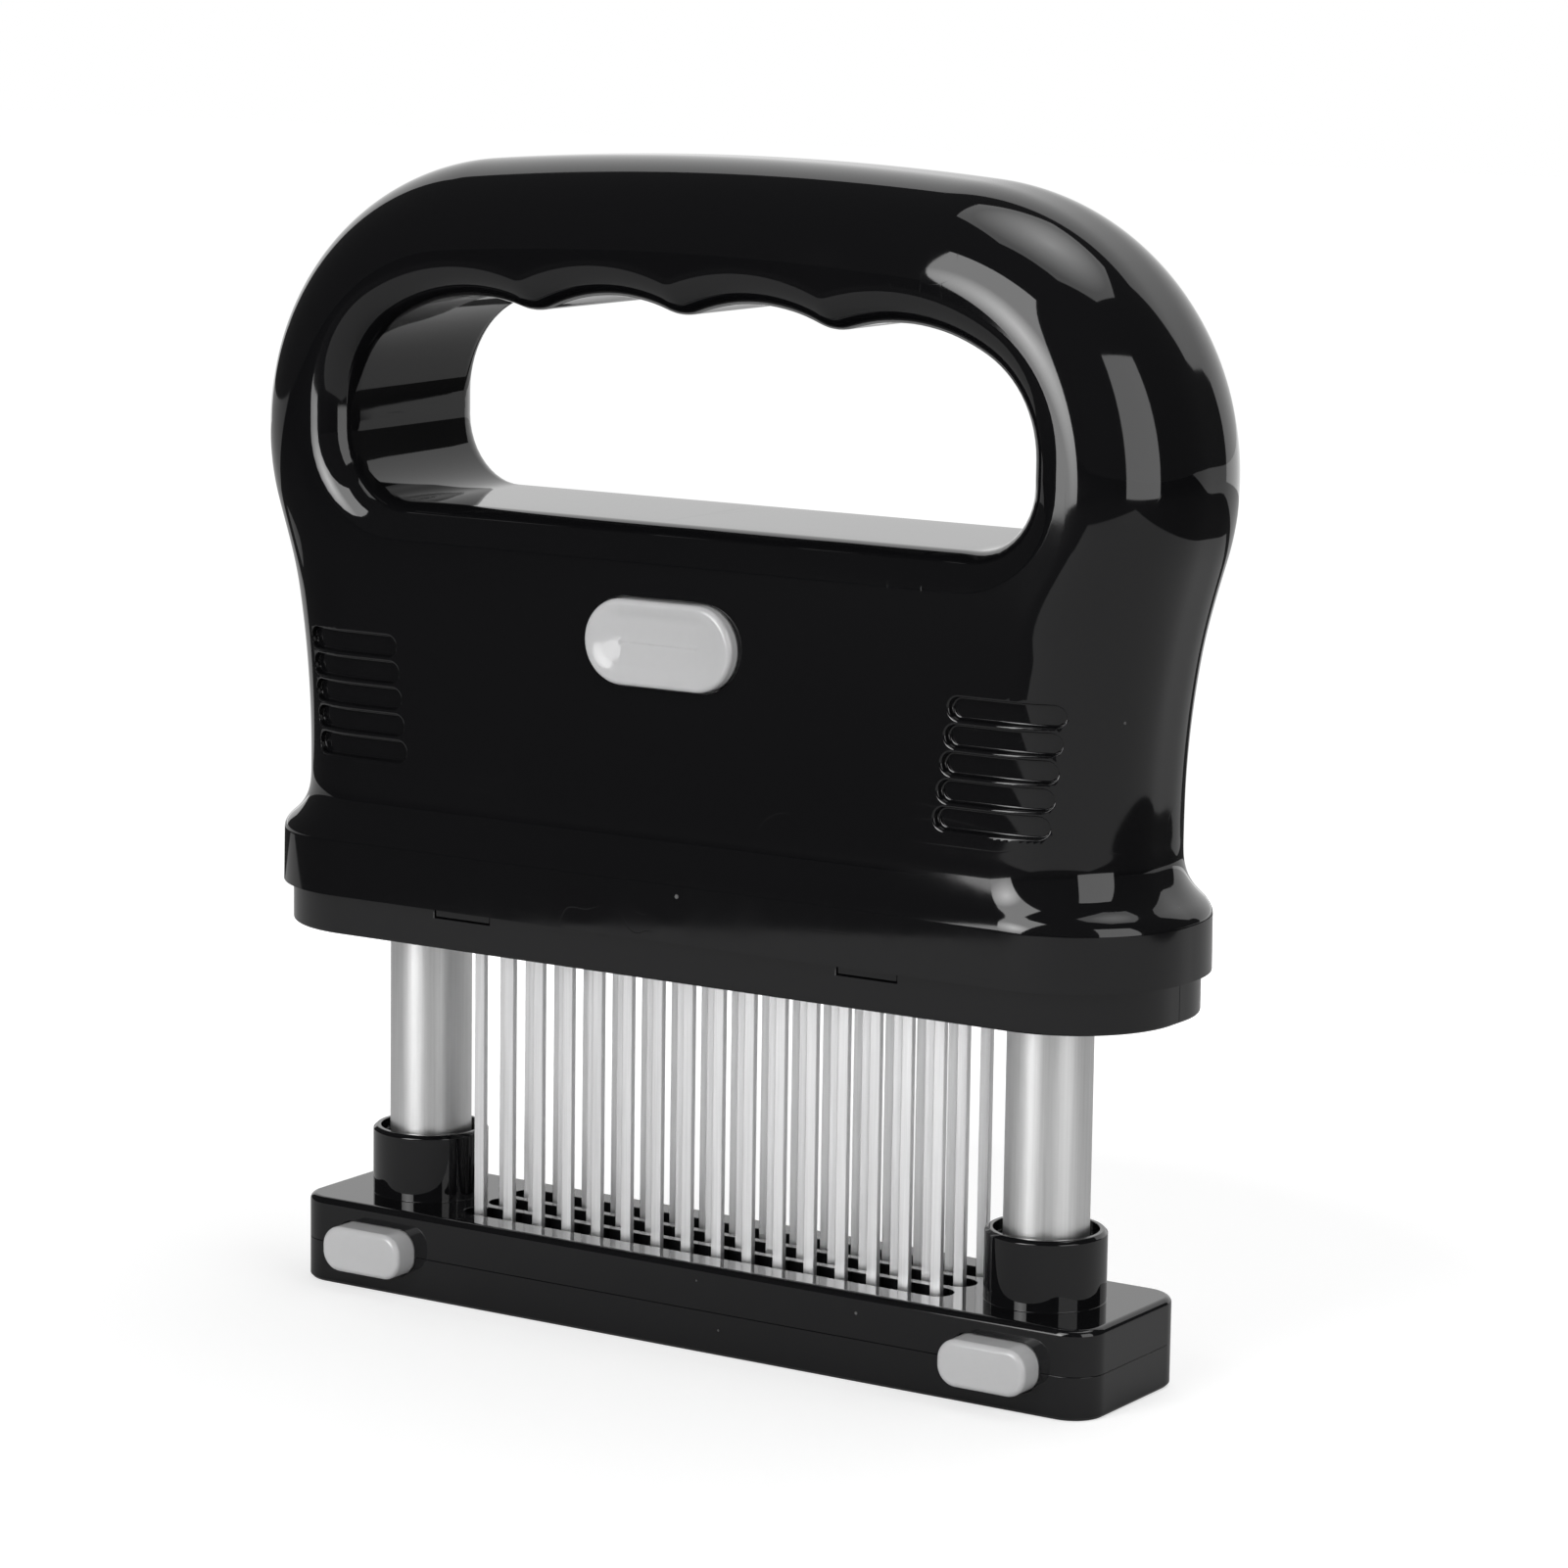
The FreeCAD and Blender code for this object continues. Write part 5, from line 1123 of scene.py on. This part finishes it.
def camera():
    """The camera, with a little shift and roll."""
    data = bpy.data.cameras.new("camera")
    data.sensor_width = 36.0
    data.lens = 36.0 * FOCAL_SHARE
    data.shift_x, data.shift_y = SHIFT
    data.clip_start, data.clip_end = 0.01, 20.0
    eye = show("camera", data)
    back = towards(AZIMUTH, ELEVATION)
    look = (-back).to_track_quat("-Z", "Y").to_matrix().to_4x4()
    eye.matrix_world = (Matrix.Translation((AIM + back * DISTANCE) * MM) @ look
                        @ Matrix.Rotation(math.radians(ROLL), 4, "Z"))
    bpy.context.scene.camera = eye


def bare_object(bm, name, label):
    """An object from a bmesh in metres, with a new material; gives the object and the material's tree."""
    mesh = bpy.data.meshes.new(name)
    bm.to_mesh(mesh)
    bm.free()
    material = bpy.data.materials.new(label)
    material.use_nodes = True
    mesh.materials.append(material)
    return show(name, mesh), material.node_tree


def on_wall(azimuth, across, level):
    """A place in metres on an upright plane that faces the object from an azimuth, LAMP_REACH away."""
    return towards(azimuth, 0) * LAMP_REACH + towards(azimuth + 90, 0) * across + Vector((0, 0, level))


def soft_box(name, corners, middle, glow):
    """A lamp of any outline, hidden from the camera; glow is (reach, strength at middle, strength there)."""
    reach, peak, edge = glow
    bm = bmesh.new()
    bmesh.ops.contextual_create(bm, geom=[bm.verts.new(corner) for corner in corners])
    lamp, tree = bare_object(bm, name, name + " light")
    lamp.visible_camera = False
    lamp.visible_shadow = False
    tree.nodes.clear()
    shine = tree.nodes.new("ShaderNodeEmission")
    place = tree.nodes.new("ShaderNodeTexCoord").outputs["Object"]
    away = measure(tree, "DISTANCE", place, middle)
    tree.links.new(spread(tree, away, 0.0, reach, peak, edge), shine.inputs["Strength"])
    tree.links.new(shine.outputs[0], tree.nodes.new("ShaderNodeOutputMaterial").inputs["Surface"])


def panel_lamp(name, azimuth, ends, levels, radiance):
    """A rectangular lamp on an upright plane that faces the object, hidden from the camera."""
    width, height = ends[1] - ends[0], levels[1] - levels[0]
    data = bpy.data.lights.new(name, "AREA")
    data.shape = "RECTANGLE"
    data.size, data.size_y = width, height
    data.energy = radiance * math.pi * width * height
    lamp = show(name, data)
    lamp.location = on_wall(azimuth, sum(ends) / 2, sum(levels) / 2)
    lamp.rotation_euler = towards(azimuth, 0).to_track_quat("Z", "Y").to_euler()
    lamp.visible_camera = False


def lamps():
    """A front box that leans, a right box, a large dim one behind and an eight-sided one above."""
    front = [on_wall(FRONT_SIDE, across, level) for across, level in FRONT_CORNERS]
    soft_box("front_box", front, on_wall(FRONT_SIDE, *FRONT_MIDDLE), FRONT_GLOW)
    panel_lamp("right_box", *RIGHT_BOX)
    panel_lamp("back_box", *BACK_BOX)
    above = [Vector(TOP_MIDDLE) + towards(22.5 + 45 * corner, 0) * TOP_RADIUS for corner in range(8)]
    soft_box("top_box", above, TOP_MIDDLE, TOP_GLOW)


def surroundings():
    """White where it is looked at directly, an even light on matt surfaces, and a dark room in the gloss."""
    world = bpy.data.worlds.new("studio")
    bpy.context.scene.world = world
    world.use_nodes = True
    tree = world.node_tree
    background = tree.nodes["Background"]
    path = tree.nodes.new("ShaderNodeLightPath")
    shade = plus(tree, times(tree, path.outputs["Is Diffuse Ray"], ROOM_FILL),
                 times(tree, path.outputs["Is Glossy Ray"], ROOM_GLOSS))
    shade = plus(tree, shade, path.outputs["Is Camera Ray"], clamp=True)
    tree.links.new(shade, background.inputs["Strength"])
    background.inputs["Color"].default_value = WHITE


def floor():
    """A pale table top in a dark room; looked at directly it is white all over, apart from a soft shadow."""
    bm = bmesh.new()
    bmesh.ops.create_grid(bm, x_segments=1, y_segments=1, size=3.0)
    ground, tree = bare_object(bm, "floor", "pale floor")
    shader = tree.nodes["Principled BSDF"]
    shader.inputs["Roughness"].default_value = 0.8
    shader.inputs["Specular IOR Level"].default_value = 0.0
    place = tree.nodes.new("ShaderNodeTexCoord").outputs["Object"]
    turned_place = mapped(tree, place, turn=(0, 0, math.radians(-TABLE_TURN)))
    parts = tree.nodes.new("ShaderNodeSeparateXYZ")
    tree.links.new(turned_place, parts.inputs["Vector"])
    outwards = measure(tree, "DOT_PRODUCT", place, towards(TABLE_CUT_SIDE, 0))
    on_table = maths(tree, "LESS_THAN", outwards, TABLE_CUT)
    for axis, (low, high), sign in (("X", TABLE_WIDTH, 1), ("Y", TABLE_LENGTH, -1)):
        along = times(tree, parts.outputs[axis], sign)
        on_table = times(tree, on_table, maths(tree, "GREATER_THAN", along, low))
        on_table = times(tree, on_table, maths(tree, "LESS_THAN", along, high))
    tree.links.new(blend_colour(tree, on_table, ROOM_FLOOR, TABLE_COLOUR), shader.inputs["Base Color"])
    behind = maths(tree, "GREATER_THAN", parts.outputs["Y"], SWEEP_START)
    away = spread(tree, measure(tree, "LENGTH", place), *SHADE_REACH, SHADE_KEPT, 1.0)
    path = tree.nodes.new("ShaderNodeLightPath")
    seen = times(tree, path.outputs["Is Camera Ray"], away)
    sweep = times(tree, times(tree, path.outputs["Is Glossy Ray"], behind), SWEEP_SHINE)
    shader.inputs["Emission Color"].default_value = WHITE
    tree.links.new(plus(tree, seen, sweep), shader.inputs["Emission Strength"])


camera()
floor()
surroundings()
lamps()
scene = bpy.context.scene
scene.view_settings.view_transform = "Standard"
